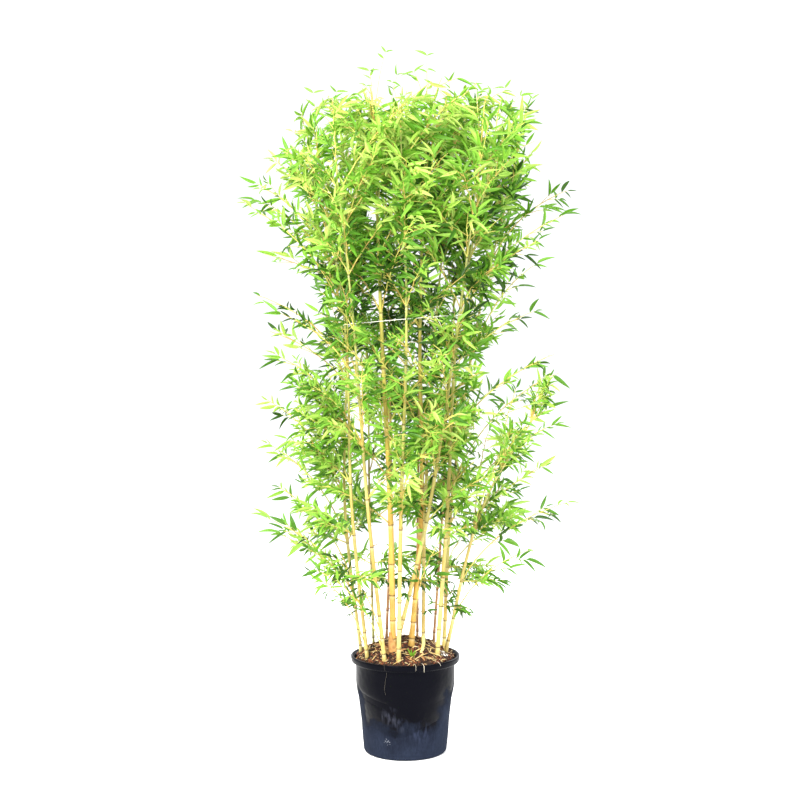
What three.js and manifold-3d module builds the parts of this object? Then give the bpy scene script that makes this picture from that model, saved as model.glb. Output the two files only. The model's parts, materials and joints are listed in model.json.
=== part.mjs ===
// A golden bamboo in a black nursery pot: fifteen yellow canes rise from the potting mix, are tied once
// round with twine, and carry leafy side branches from a step above the pot to their tips.
// Millimetres, +Z up. The origin is the middle of the pot's flat underside, and the front faces -Y.
import * as THREE from 'three';
import { mergeVertices } from 'three/addons/utils/BufferGeometryUtils.js';
import Module from 'manifold-3d';

const wasm = await Module();
wasm.setup();

// Driving dimensions of the pot, a blow-moulded 20 litre container.
const potHeight = 290;
const rimRadius = 165;
const rimDepth = 18;
const rimInnerRadius = 154;
const wallTopRadius = 151;
const baseRadius = 125;
const wallThickness = 3;
const bulge = { height: 205, depth: 4.5, tall: 40 };
const potSides = 24;
const wallRows = [10, 70, 110, 150, 200];
const dents = [
  { angle: 3.42, height: 126, depth: 8, wide: 0.5, tall: 30 },
  { angle: 4.55, height: 95, depth: 4, wide: 0.35, tall: 26 },
  { angle: 5.75, height: 150, depth: 4, wide: 0.4, tall: 45 },
];

// Driving dimensions of the potting mix, a low mound that meets the rim.
const soilEdgeHeight = 280;
const soilCrownHeight = 340;
const soilRows = [112, 56];
const soilLumps = 4;
const soilClearance = 1.6;
const footDepth = 22;

// Running gap between two solids that touch on the real plant.
const gap = 0.3;

// Driving dimensions of the canes.
const waistHeight = 740;
const tieHeight = 1303;
const tieRise = 34;
const twineRadius = 1.4;
const twineSlack = 3.8;
const caneSides = 5;
const caneTaper = 0.7;
const nodeSwelling = 1.24;
const nodeCollar = 9;
const footFlare = 1.3;
const shortInternode = 42;
const longInternode = 176;

// Each cane: where its foot stands, where it is at the waist and at the twine, where its tip is,
// the height of the tip and the radius above the foot.
const canes = [
  { foot: [-135, 8], waist: [-184, 4], tied: [-184, 6], tip: [-262, 24], height: 1690, radius: 5.2 },
  { foot: [-114, -70], waist: [-159, -88], tied: [-181, -88], tip: [-252, -176], height: 1740, radius: 5.6 },
  { foot: [-98, 88], waist: [-111, 106], tied: [-123, 116], tip: [-176, 236], height: 1730, radius: 4.2 },
  { foot: [-62, -114], waist: [-110, -126], tied: [-154, -132], tip: [-196, -250], height: 1710, radius: 6.2 },
  { foot: [-58, 72], waist: [-44, 82], tied: [-52, 94], tip: [-64, 176], height: 1850, radius: 4.6 },
  { foot: [-36, -82], waist: [-45, -86], tied: [-72, -92], tip: [-92, -150], height: 1880, radius: 9.2 },
  { foot: [-20, -126], waist: [-13, -140], tied: [3, -150], tip: [-14, -262], height: 1830, radius: 6.6 },
  { foot: [-25, -56], waist: [70, -100], tied: [157, -110], tip: [214, -206], height: 1760, radius: 6.4 },
  { foot: [18, -60], waist: [48, -62], tied: [44, -62], tip: [64, -96], height: 1890, radius: 8.4 },
  { foot: [38, 90], waist: [40, 116], tied: [48, 132], tip: [70, 262], height: 1780, radius: 4.4 },
  { foot: [54, -26], waist: [60, -20], tied: [93, -12], tip: [150, 30], height: 1840, radius: 5.6 },
  { foot: [88, 82], waist: [118, 96], tied: [146, 106], tip: [226, 214], height: 1720, radius: 4.4 },
  { foot: [96, -68], waist: [126, -68], tied: [160, -66], tip: [258, -112], height: 1800, radius: 6.8 },
  { foot: [122, -22], waist: [232, -46], tip: [412, -92], height: 1062, radius: 6.0 },
  { foot: [118, 22], waist: [141, 26], tied: [222, 32], tip: [336, 78], height: 1750, radius: 6.2 },
];

// The crown's outline: how far leaf tips reach from the middle at each height.
const outline = [
  { height: 470, reach: 200 },
  { height: 640, reach: 330 },
  { height: 930, reach: 415 },
  { height: 1290, reach: 290 },
  { height: 1480, reach: 370 },
  { height: 1760, reach: 410 },
  { height: 1950, reach: 365 },
  { height: 2040, reach: 280 },
  { height: 2125, reach: 100 },
];
const crownTop = 2118;
// The crown's top is level, but for the canes whose tips stand nearest to its middle.
const levelTop = 2018;
const peakReach = 180;
const leastRise = 80;

// Driving dimensions of the foliage. Each leaf of the solids stands for a few of the plant's own.
const leafLength = 150;
const leafWidth = 29;
const petiole = 2.2;
const stemRadius = 2.6;
const twigRadius = 2.0;
const twigLength = 92;
const twigShares = [0.3, 0.56, 0.82];
const strayShares = [0.5, 0.68, 0.85];
const leavesInFan = 4;
const tries = 10;
const clearance = 1.2;
const fineness = 0.6;

// Side branches leave the canes in a spiral round the plant, from the lowest height to the highest.
const sideBranches = 18;
const lowestBranch = 610;
const highestBranch = 1620;
const goldenAngle = 2.4;

// Long thin branches that stand out of the crown: compass angle in degrees, tip height and reach.
const strays = [
  { cane: 0, angle: 184, height: 1650, reach: 505 },
  { cane: 1, angle: 192, height: 1355, reach: 495 },
  { cane: 1, angle: 203, height: 700, reach: 480 },
  { cane: 14, angle: 4, height: 1690, reach: 555 },
  { cane: 12, angle: -8, height: 1200, reach: 540 },
  { cane: 13, angle: -14, height: 740, reach: 520 },
  { cane: 9, angle: 92, height: 1420, reach: 450 },
];

const colours = {
  pot: 0x17181c,
  soil: 0x4a2c1c,
  twine: 0xe8e6da,
  golden: 0xdcae3c,
  pale: 0xe6d768,
  olive: 0xa9a244,
  head: 0x86c62c,
  upper: 0x6fb52a,
  middle: 0x5fae2a,
  skirt: 0x7ab93a,
  stray: 0xa3cc4a,
};

// The same seed always gives the same run of numbers from 0 to 1.
function seeded(seed) {
  let state = seed;
  return () => {
    state = (state + 0x6d2b79f5) | 0;
    let mixed = Math.imul(state ^ (state >>> 15), 1 | state);
    mixed = (mixed + Math.imul(mixed ^ (mixed >>> 7), 61 | mixed)) ^ mixed;
    return ((mixed ^ (mixed >>> 14)) >>> 0) / 4294967296;
  };
}

function solidFrom(geometry) {
  const bare = geometry.clone();
  bare.deleteAttribute('normal');
  bare.deleteAttribute('uv');
  const merged = mergeVertices(bare, 1e-4);
  const vertProperties = new Float32Array(merged.attributes.position.array);
  const triVerts = new Uint32Array(merged.index.array);
  return new wasm.Manifold(new wasm.Mesh({ numProp: 3, vertProperties, triVerts }));
}

function geometryFrom(solid) {
  const mesh = solid.getMesh();
  const geometry = new THREE.BufferGeometry();
  const places = new Float32Array(mesh.numVert * 3);
  for (let i = 0; i < mesh.numVert; i++) {
    const start = i * mesh.numProp;
    places.set(mesh.vertProperties.subarray(start, start + 3), i * 3);
  }
  geometry.setAttribute('position', new THREE.BufferAttribute(places, 3));
  geometry.setIndex(new THREE.BufferAttribute(mesh.triVerts, 1));
  geometry.computeVertexNormals();
  return geometry;
}

// A closed limb: a cylinder bent along stations, each with a place and a radius.
function limb(stations, sides) {
  const tube = new THREE.CylinderGeometry(1, 1, 1, sides, stations.length - 1);
  const last = stations.length - 1;
  const frames = [];
  const across = new THREE.Vector3(1, 0.12, 0.07);
  stations.forEach((station, i) => {
    const before = stations[Math.max(i - 1, 0)].at;
    const after = stations[Math.min(i + 1, last)].at;
    const along = after.clone().sub(before).normalize();
    across.addScaledVector(along, -across.dot(along)).normalize();
    frames.push({ across: across.clone(), other: along.clone().cross(across) });
  });
  const place = tube.attributes.position;
  for (let v = 0; v < place.count; v++) {
    const i = Math.round((0.5 - place.getY(v)) * last);
    const { across: a, other: b } = frames[i];
    const { at, radius } = stations[i];
    const point = at.clone();
    point.addScaledVector(a, place.getX(v) * radius);
    point.addScaledVector(b, place.getZ(v) * radius);
    place.setXYZ(v, point.x, point.y, point.z);
  }
  return solidFrom(tube);
}

function dentAt(angle, height) {
  let sum = 0;
  for (const dent of dents) {
    const turn = Math.atan2(Math.sin(angle - dent.angle), Math.cos(angle - dent.angle));
    const away = (turn / dent.wide) ** 2 + ((height - dent.height) / dent.tall) ** 2;
    sum += dent.depth * Math.exp(-away);
  }
  return sum;
}

// The wall widens evenly from its foot, and is pressed out a little under the rim.
function wallRadius(height) {
  const straight = THREE.MathUtils.mapLinear(height, 0, potHeight - rimDepth, baseRadius, wallTopRadius);
  return straight + bulge.depth * Math.exp(-(((height - bulge.height) / bulge.tall) ** 2));
}

// Turns a lathe profile about Z and pushes the dents of the wall into it.
function turned(profile, lump = () => 0) {
  const points = profile.map(([radius, height]) => new THREE.Vector2(radius, height));
  const geometry = new THREE.LatheGeometry(points, potSides);
  geometry.rotateX(Math.PI / 2);
  const place = geometry.attributes.position;
  for (let v = 0; v < place.count; v++) {
    const radius = Math.hypot(place.getX(v), place.getY(v));
    const angle = Math.atan2(place.getY(v), place.getX(v));
    const height = place.getZ(v);
    const inWall = height > 1 && height < potHeight - rimDepth && radius > 1;
    const scale = inWall ? (radius - dentAt(angle, height)) / radius : 1;
    place.setXYZ(v, place.getX(v) * scale, place.getY(v) * scale, height + lump(radius, angle));
  }
  return solidFrom(geometry);
}

function potSolid() {
  const lipTop = potHeight - 3;
  const outside = wallRows.map((height) => [wallRadius(height), height]);
  const inside = wallRows.map((height) => [wallRadius(height) - wallThickness, height]).reverse();
  return turned([
    [0, 0],
    [baseRadius - 3, 0],
    ...outside,
    [wallTopRadius, potHeight - rimDepth],
    [rimRadius - 2, potHeight - rimDepth],
    [rimRadius, lipTop],
    [rimRadius - 3, potHeight],
    [rimInnerRadius, potHeight],
    [wallTopRadius - wallThickness, potHeight - rimDepth],
    ...inside.slice(0, -1),
    [wallRadius(10) - wallThickness, 10],
    [0, 10],
  ]);
}

// Height of the potting mix at a distance from the middle, before its lumps.
function soilHeight(radius) {
  const share = Math.min(radius / rimInnerRadius, 1);
  return THREE.MathUtils.lerp(soilCrownHeight, soilEdgeHeight, share ** 2);
}

function soilSolid() {
  const clear = wallThickness + soilClearance;
  const floor = 10 + gap;
  const sides = wallRows.map((height) => [wallRadius(height) - clear, Math.max(height, floor)]);
  const lump = (radius, angle) => {
    const onTop = soilRows.some((row) => Math.abs(row - radius) < 0.1);
    return onTop ? soilLumps * Math.sin(3 * angle + radius) * Math.sin(5 * angle - radius / 9) : 0;
  };
  const mound = turned([
    [0, floor],
    ...sides,
    [wallTopRadius - clear, potHeight - rimDepth],
    [wallTopRadius - clear + 1, soilEdgeHeight],
    ...soilRows.map((radius) => [radius, soilHeight(radius)]),
    [0, soilCrownHeight],
  ], lump);
  return canes.reduce((soil, cane) => soil.subtract(caneSolid(cane, gap)), mound);
}

function groundUnder(cane) {
  return soilHeight(Math.hypot(...cane.foot));
}

// The middle line of a cane is a smooth curve through its foot, waist, tie and tip.
function caneCentre(cane, height) {
  const rows = [[...cane.foot, groundUnder(cane)], [...cane.waist, waistHeight]];
  if (cane.tied) rows.push([...cane.tied, tieHeight]);
  rows.push([...cane.tip, cane.height]);
  const last = rows.length - 1;
  const i = THREE.MathUtils.clamp(rows.filter((row) => row[2] < height).length, 1, last) - 1;
  const slope = (k, axis) => {
    const low = rows[Math.max(k - 1, 0)];
    const high = rows[Math.min(k + 1, last)];
    return (high[axis] - low[axis]) / (high[2] - low[2]);
  };
  const span = rows[i + 1][2] - rows[i][2];
  const t = Math.max((height - rows[i][2]) / span, 0);
  const [x, y] = [0, 1].map((axis) => {
    const rise = rows[i + 1][axis] - rows[i][axis];
    const start = slope(i, axis) * span;
    const end = slope(i + 1, axis) * span;
    return rows[i][axis] + t * (start + t * (3 * rise - 2 * start - end + t * (start + end - 2 * rise)));
  });
  return new THREE.Vector3(x, y, height);
}

function caneRadius(cane, height) {
  const ground = groundUnder(cane);
  const share = THREE.MathUtils.clamp((height - ground) / (cane.height - ground), 0, 1);
  return cane.radius * (1 - caneTaper * share ** 1.25);
}

// The heights of a cane's nodes: close together at the foot and the tip, and wide apart between.
function nodeHeights(cane) {
  const ground = groundUnder(cane);
  const heights = [];
  const random = seeded(Math.round(1000 + cane.foot[0] * 7 + cane.foot[1]));
  let height = ground + 16 + 20 * random();
  while (height < cane.height - 40) {
    heights.push(height);
    const share = (height - ground) / (cane.height - ground);
    const length = THREE.MathUtils.lerp(shortInternode, longInternode, Math.sin(Math.PI * share) ** 0.85);
    height += length * (0.92 + 0.16 * random());
  }
  return heights;
}

function caneSolid(cane, clearance = 0) {
  const extra = clearance / Math.cos(Math.PI / caneSides);
  const station = (height, swell = 1) => ({
    at: caneCentre(cane, height),
    radius: caneRadius(cane, height) * swell + extra,
  });
  const ground = groundUnder(cane);
  const foot = station(ground - footDepth, footFlare);
  foot.at.z -= clearance;
  const stations = [foot, station(ground + 8, 1.08)];
  for (const height of nodeHeights(cane)) {
    stations.push(station(height, nodeSwelling));
    if (height < waistHeight) stations.push(station(height + nodeCollar));
  }
  const tip = station(cane.height);
  tip.at.z += clearance;
  stations.push(tip);
  return limb(stations, caneSides);
}

function outlineReach(height) {
  const above = outline.findIndex((row) => row.height >= height);
  if (above <= 0) return above < 0 ? outline.at(-1).reach : outline[0].reach;
  const low = outline[above - 1];
  const high = outline[above];
  const share = (height - low.height) / (high.height - low.height);
  return THREE.MathUtils.lerp(low.reach, high.reach, THREE.MathUtils.smoothstep(share, 0, 1));
}

// How far a point inside the circle of this radius can go along a direction before it meets it.
function runTo(start, direction, radius) {
  const along = start.x * direction.x + start.y * direction.y;
  const inside = radius ** 2 - (start.x ** 2 + start.y ** 2);
  return Math.sqrt(Math.max(along ** 2 + inside, 0)) - along;
}

function compass(angle) {
  return new THREE.Vector3(Math.cos(angle), Math.sin(angle), 0);
}

// A branch leaves its cane steeply and arches out to its tip.
function branchCurve({ start, angle, run, rise, arch = 0.68 }) {
  const middle = start.clone().addScaledVector(compass(angle), run * (1 - arch));
  middle.z += rise * arch;
  const end = start.clone().addScaledVector(compass(angle), run);
  end.z += rise;
  return new THREE.QuadraticBezierCurve3(start, middle, end);
}

function nearestNode(cane, height) {
  const heights = nodeHeights(cane);
  return heights.reduce((best, h) => (Math.abs(h - height) < Math.abs(best - height) ? h : best));
}

// The branch that carries a cane on from its tip, up and outwards.
function tipBranch(cane, i) {
  const start = caneCentre(cane, cane.height);
  const angle = Math.atan2(start.y, start.x);
  const room = outlineReach(start.z + 150) - Math.hypot(start.x, start.y) - leafLength * 0.5;
  const run = THREE.MathUtils.clamp(room, 20, 170);
  const top = Math.hypot(start.x, start.y) < peakReach ? crownTop : levelTop;
  const highest = Math.max(top - leafLength * 0.6 - start.z, leastRise);
  const rise = cane.tied ? Math.min(320 - run * 0.6, highest) : run;
  return { name: 'head', cane, start, angle, run, rise, arch: 0.54, seed: 100 + i };
}

// One side branch of the spiral, from the cane that stands nearest to its side of the plant.
function sideBranch(k, uses) {
  const random = seeded(500 + k);
  const wanted = THREE.MathUtils.lerp(lowestBranch, highestBranch, (k + 0.5) / sideBranches);
  const angle = k * goldenAngle;
  const fit = (cane) => {
    const tooShort = cane.height < wanted + 90 ? 1000 : 0;
    return caneCentre(cane, wanted).dot(compass(angle)) - tooShort - 70 * (uses.get(cane) ?? 0);
  };
  const cane = canes.reduce((best, other) => (fit(other) > fit(best) ? other : best));
  uses.set(cane, (uses.get(cane) ?? 0) + 1);
  const start = caneCentre(cane, nearestNode(cane, wanted));
  const room = runTo(start, compass(angle), outlineReach(start.z + 130)) - leafLength * 0.5;
  const run = THREE.MathUtils.clamp(room * (k % 3 ? 1 : 0.7), 60, 260);
  const rise = Math.max(run * (0.75 + 0.5 * random()), 120);
  const name = wanted > tieHeight ? 'upper' : wanted > waistHeight + 200 ? 'middle' : 'skirt';
  return { name, cane, start, angle, run, rise, seed: k };
}

function strayBranch(stray, k) {
  const cane = canes[stray.cane];
  const angle = THREE.MathUtils.degToRad(stray.angle);
  const start = caneCentre(cane, nearestNode(cane, stray.height - 230));
  const run = runTo(start, compass(angle), stray.reach - leafLength * 0.8);
  return { name: 'stray', cane, start, angle, run, rise: stray.height - start.z, seed: 200 + k };
}

function planBranches() {
  const uses = new Map(strays.map((stray) => [canes[stray.cane], 1]));
  return [
    ...strays.map(strayBranch),
    ...canes.map(tipBranch),
    ...Array.from({ length: sideBranches }, (_, k) => sideBranch(k, uses)),
  ];
}

// A leaf of eight faces: a flat lance-shaped blade on a keel that runs from the petiole to the tip.
function leafSolid(root, along, up, length, width) {
  const side = along.clone().cross(up).normalize();
  const top = side.clone().cross(along).normalize();
  const half = petiole / 2;
  const widest = length * 0.36;
  const corners = {
    'x+': [length, 0, 0],
    'y+': [widest, -width / 2, half],
    'z+': [widest, width / 2, half],
    'x-': [0, 0, half],
    'y-': [0, half, -half],
    'z-': [0, -half, -half],
  };
  const geometry = new THREE.OctahedronGeometry(1);
  const place = geometry.attributes.position;
  for (let v = 0; v < place.count; v++) {
    const values = [place.getX(v), place.getY(v), place.getZ(v)];
    const axis = values.findIndex((value) => Math.abs(value) > 0.5);
    const [ahead, aside, above] = corners['xyz'[axis] + (values[axis] > 0 ? '+' : '-')];
    const point = root.clone().addScaledVector(along, ahead);
    point.addScaledVector(side, aside).addScaledVector(top, above);
    place.setXYZ(v, point.x, point.y, point.z);
  }
  return solidFrom(geometry);
}

function withBox(solid) {
  return { solid, box: solid.boundingBox() };
}

function boxesMeet(a, b, margin) {
  return [0, 1, 2].every((i) => a.min[i] < b.max[i] + margin && b.min[i] < a.max[i] + margin);
}

// Whether a solid keeps clear of every solid in the list.
function isClear(solid, others) {
  const box = solid.boundingBox();
  return others.every((other) => {
    const apart = !boxesMeet(box, other.box, clearance);
    return apart || solid.minGap(other.solid, clearance) >= clearance;
  });
}

// A unit direction turned away from another by an angle, on the side that a compass turn picks.
function turnedFrom(direction, angle, turn) {
  const level = new THREE.Vector3(-direction.y, direction.x, 0);
  if (level.lengthSq() < 1e-4) level.set(1, 0, 0);
  level.normalize();
  const raised = direction.clone().cross(level);
  const away = level.multiplyScalar(Math.cos(turn)).addScaledVector(raised, Math.sin(turn));
  return direction.clone().multiplyScalar(Math.cos(angle)).addScaledVector(away, Math.sin(angle));
}

// The face of a fan of leaves looks up and away from the middle of the plant.
function fanFace(end, heading, random) {
  const face = compass(Math.atan2(end.y, end.x) + 1.2 * (random() - 0.5)).multiplyScalar(0.9);
  face.z = 0.35 + 0.6 * random();
  return face.addScaledVector(heading, -face.dot(heading)).normalize();
}

function mainBody(solid) {
  const bodies = solid.decompose();
  return bodies.reduce((most, body) => (body.volume() > most.volume() ? body : most));
}

// The stem of a spray starts inside its cane, and is swung aside until it keeps clear of the others.
function growStem(plan, obstacles) {
  const others = obstacles.filter((obstacle) => obstacle.cane !== plan.cane);
  const shares = [0, ...(plan.name === 'stray' ? strayShares : twigShares), 1];
  for (let attempt = 0; attempt < tries; attempt++) {
    const swing = 0.1 * attempt * (attempt % 2 ? 1 : -1);
    const curve = branchCurve({ ...plan, angle: plan.angle + swing });
    const stations = shares.map((t) => ({
      at: curve.getPoint(t),
      radius: THREE.MathUtils.lerp(stemRadius, twigRadius, t),
    }));
    const stem = limb(stations, 3);
    if (isClear(stem, others)) return { stem, stations };
  }
  return null;
}

// One spray: a stem, twigs that leave it by turns, and a fan of leaves at every end.
function growSpray(plan, obstacles) {
  const grown = growStem(plan, obstacles);
  if (!grown) return null;
  const { stem, stations } = grown;
  const random = seeded(7000 + plan.seed);
  const loose = plan.name === 'stray' || !plan.cane.tied;
  const slack = loose ? 150 : 24;
  const inSpace = (point) => {
    const away = Math.hypot(point.x, point.y);
    return point.z < crownTop && away < outlineReach(point.z) + slack;
  };
  const parts = [stem];

  // A fan has one leaf ahead and the others by turns on its two sides.
  const addFan = (end, heading, carrier) => {
    const face = fanFace(end, heading, random);
    const side = heading.clone().cross(face);
    const own = parts.filter((part) => part !== carrier).map(withBox);
    for (let n = 0; n < leavesInFan; n++) {
      const root = end.clone().addScaledVector(heading, -5 - 13 * n);
      for (let attempt = 0; attempt < tries; attempt++) {
        const spread = (n ? 0.62 + 0.3 * random() : 0.3 * (random() - 0.5)) * (n % 2 ? 1 : -1);
        const along = heading.clone().multiplyScalar(Math.cos(spread)).addScaledVector(side, Math.sin(spread));
        along.addScaledVector(face, 0.07 * attempt * (random() - 0.5));
        const size = (0.84 + 0.26 * random()) * (1 - 0.03 * attempt);
        const highest = (crownTop - 2 - root.z) / (leafLength * size);
        along.z = Math.min(along.z - 0.05 - 0.25 * random(), highest);
        along.normalize();
        if (!inSpace(root.clone().addScaledVector(along, leafLength * size))) continue;
        const leaf = leafSolid(root, along, face, leafLength * size, leafWidth * size);
        if (!isClear(leaf, obstacles) || !isClear(leaf, own)) continue;
        parts.push(leaf);
        break;
      }
    }
  };

  for (let k = 1; k < stations.length - 1; k++) {
    const base = stations[k].at;
    const heading = stations[k + 1].at.clone().sub(base).normalize();
    const own = parts.filter((part) => part !== stem).map(withBox);
    for (let attempt = 0; attempt < tries; attempt++) {
      const along = turnedFrom(heading, 0.7 + 0.45 * random(), Math.PI * k + random() - 0.5 + attempt);
      const length = twigLength * (0.65 + 0.5 * random()) * (plan.name === 'stray' ? 0.6 : 1);
      const end = base.clone().addScaledVector(along, length);
      if (!inSpace(end)) continue;
      const twig = limb([{ at: base, radius: twigRadius }, { at: end, radius: twigRadius }], 3);
      if (!isClear(twig, obstacles) || !isClear(twig, own)) continue;
      parts.push(twig);
      addFan(end, along, twig);
      break;
    }
  }
  const end = stations.at(-1).at;
  addFan(end, end.clone().sub(stations.at(-2).at).normalize(), stem);
  const whole = wasm.Manifold.union(parts).asOriginal().simplify(fineness);
  return { solid: mainBody(whole.subtract(caneSolid(plan.cane, gap))), parts };
}

// The twine runs tight round the outermost canes, a little lower on the left than on the right.
function twineSolid() {
  const heightAt = (x) => tieHeight + (tieRise * x) / 400;
  const tied = canes.filter((cane) => cane.tied);
  const loop = [];
  for (let i = 0; i < 30; i++) {
    const direction = compass((i * Math.PI) / 15);
    const touches = tied.map((cane) => {
      const centre = caneCentre(cane, heightAt(cane.tied[0]));
      const radius = caneRadius(cane, centre.z) * nodeSwelling + twineSlack + twineRadius;
      return centre.addScaledVector(direction, radius);
    });
    const outermost = touches.reduce((best, point) => (point.dot(direction) > best.dot(direction) ? point : best));
    outermost.z = heightAt(outermost.x);
    if (!loop.length || outermost.distanceTo(loop.at(-1)) > 2 * twineRadius) loop.push(outermost);
  }
  const ring = new THREE.TorusGeometry(100, 10, 5, loop.length);
  const place = ring.attributes.position;
  for (let v = 0; v < place.count; v++) {
    const turn = Math.atan2(place.getY(v), place.getX(v)) / (2 * Math.PI);
    const i = Math.round(turn * loop.length + loop.length) % loop.length;
    const before = loop[(i + loop.length - 1) % loop.length];
    const after = loop[(i + 1) % loop.length];
    const outward = after.clone().sub(before).cross(new THREE.Vector3(0, 0, 1)).normalize();
    const out = (Math.hypot(place.getX(v), place.getY(v)) - 100) / 10;
    const up = place.getZ(v) / 10;
    const point = loop[i].clone().addScaledVector(outward, out * twineRadius);
    place.setXYZ(v, point.x, point.y, point.z + up * twineRadius);
  }
  return solidFrom(ring);
}

const plant = new THREE.Group();
plant.name = 'potted_bamboo';

function addPiece(name, solid, colour, roughness) {
  const material = new THREE.MeshStandardMaterial({ color: colour, roughness, metalness: 0 });
  const mesh = new THREE.Mesh(geometryFrom(solid), material);
  mesh.name = name;
  plant.add(mesh);
}

const twoDigits = (number) => String(number).padStart(2, '0');

addPiece('pot', potSolid(), colours.pot, 0.35);
addPiece('potting_mix', soilSolid(), colours.soil, 0.95);

const obstacles = [];
canes.forEach((cane, i) => {
  const solid = caneSolid(cane);
  const tint = cane.radius > 8 ? colours.golden : cane.radius > 5 ? colours.pale : colours.olive;
  addPiece(`cane_${twoDigits(i + 1)}`, solid, tint, 0.4);
  obstacles.push({ ...withBox(solid), cane });
});

const twine = twineSolid();
addPiece('twine', twine, colours.twine, 0.9);
obstacles.push(withBox(twine));

const counts = {};
for (const plan of planBranches()) {
  const spray = growSpray(plan, obstacles);
  if (!spray) continue;
  counts[plan.name] = (counts[plan.name] ?? 0) + 1;
  const name = `foliage_${plan.name}_${twoDigits(counts[plan.name])}`;
  addPiece(name, spray.solid, colours[plan.name], 0.6);
  spray.parts.forEach((part) => obstacles.push(withBox(part)));
}

export default plant;
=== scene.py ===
import json
import math

import bpy
from mathutils import Matrix, Vector, noise

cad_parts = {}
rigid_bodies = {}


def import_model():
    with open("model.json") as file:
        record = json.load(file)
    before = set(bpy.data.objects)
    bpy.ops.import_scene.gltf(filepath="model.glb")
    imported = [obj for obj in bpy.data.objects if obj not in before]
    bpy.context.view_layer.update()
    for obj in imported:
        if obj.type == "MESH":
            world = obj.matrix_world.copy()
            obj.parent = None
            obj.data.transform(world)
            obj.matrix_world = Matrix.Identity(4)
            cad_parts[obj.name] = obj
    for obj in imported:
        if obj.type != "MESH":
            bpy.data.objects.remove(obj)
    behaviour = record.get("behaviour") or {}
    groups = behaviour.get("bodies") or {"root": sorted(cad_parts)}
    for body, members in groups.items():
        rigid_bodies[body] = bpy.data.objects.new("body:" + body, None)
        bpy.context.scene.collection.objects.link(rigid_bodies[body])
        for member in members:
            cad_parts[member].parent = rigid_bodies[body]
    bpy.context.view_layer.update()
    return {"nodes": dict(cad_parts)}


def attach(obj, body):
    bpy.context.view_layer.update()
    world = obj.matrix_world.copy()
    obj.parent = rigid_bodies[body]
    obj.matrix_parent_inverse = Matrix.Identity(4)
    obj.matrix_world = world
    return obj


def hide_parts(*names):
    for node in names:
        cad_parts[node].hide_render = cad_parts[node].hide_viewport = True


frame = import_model()
MM = 0.001

# The camera stands level in front of the plant, and sees it as the photograph does. The shift sets
# the horizon as high in the frame as it is there.
CAMERA_PLACE = (-16, -4000, 1190)
CAMERA_SHIFT = -0.0529
LENS = 59.2

# The pot and its filling, as in the solids.
POT_HEIGHT = 290
RIM_RADIUS = 165
RIM_DEPTH = 18
RIM_INNER_RADIUS = 154
WALL_TOP_RADIUS = 151
BASE_RADIUS = 125
WALL_THICKNESS = 3
BULGE = {"height": 205, "depth": 4.5, "tall": 40}
SOIL_EDGE_HEIGHT = 280
SOIL_CROWN_HEIGHT = 340
DENTS = [
    {"angle": 3.42, "height": 126, "depth": 8, "wide": 0.5, "tall": 30},
    {"angle": 4.55, "height": 95, "depth": 4, "wide": 0.35, "tall": 26},
    {"angle": 5.75, "height": 150, "depth": 4, "wide": 0.4, "tall": 45},
]
# Only this finer wall has the crease, which slants down to the right across the left of its front.
CREASE = {"angle": 3.95, "height": 175, "slope": -31, "depth": 4.5, "half_width": 0.45, "tall": 8}
POT_SIDES = 144
FLOOR_TOP = 12
# Marks on the front of the wall: how far right of the middle and how high each is, its radius, what it
# is and its colour.
POT_MARKS = [
    (-46, 132, 34, "splash", "#383A45"),
    (-12, 108, 26, "splash", "#333744"),
    (45, 84, 40, "splash", "#30374A"),
    (-54, 55, 13, "scuff", "#9AA0AC"),
]

# What lies on the mound: chips of bark and grit, each with how many there are, its seed, its dark and
# its light colour, and its length.
CHIPS = [
    ("dark_bark_chips", 1900, 41, "#120904", "#341D0E", 7.0),
    ("red_bark_chips", 1500, 42, "#4E2814", "#84482A", 6.5),
    ("tan_bark_chips", 280, 43, "#6E4620", "#9C7444", 5.0),
    ("white_grit", 60, 44, "#CFC8B8", "#F4F0E6", 2.6),
]
# Straw, leaves and sheaths. Each also has its width as a share of its length, how far inside the rim it
# stays, how it crowds the middle and how high it lies. The flecks lie over the rim's inner edge.
STRAWS = [
    ("dry_straw", 170, 51, "#B08848", "#DCC68C", 34, 0.05, 22, 0.38, 1.8),
    ("fallen_leaves", 40, 52, "#84582E", "#B88A54", 40, 0.13, 34, 0.38, 1.8),
    ("pale_sheaths", 64, 53, "#B49C6C", "#E2D3AA", 17, 0.1, 11, 0.38, 1.8),
    ("rim_flecks", 150, 54, "#9C7C4C", "#DCC794", 9, 0.12, 3.5, 0.07, 4.4),
]
MOUND_SIDES = 120
SHAPES_OF_A_KIND = 4

# The canes, as in the solids.
WAIST_HEIGHT = 740
TIE_HEIGHT = 1303
TIE_RISE = 34
FOOT_DEPTH = 22
CANE_TAPER = 0.7
SHORT_INTERNODE = 42
LONG_INTERNODE = 176
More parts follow.
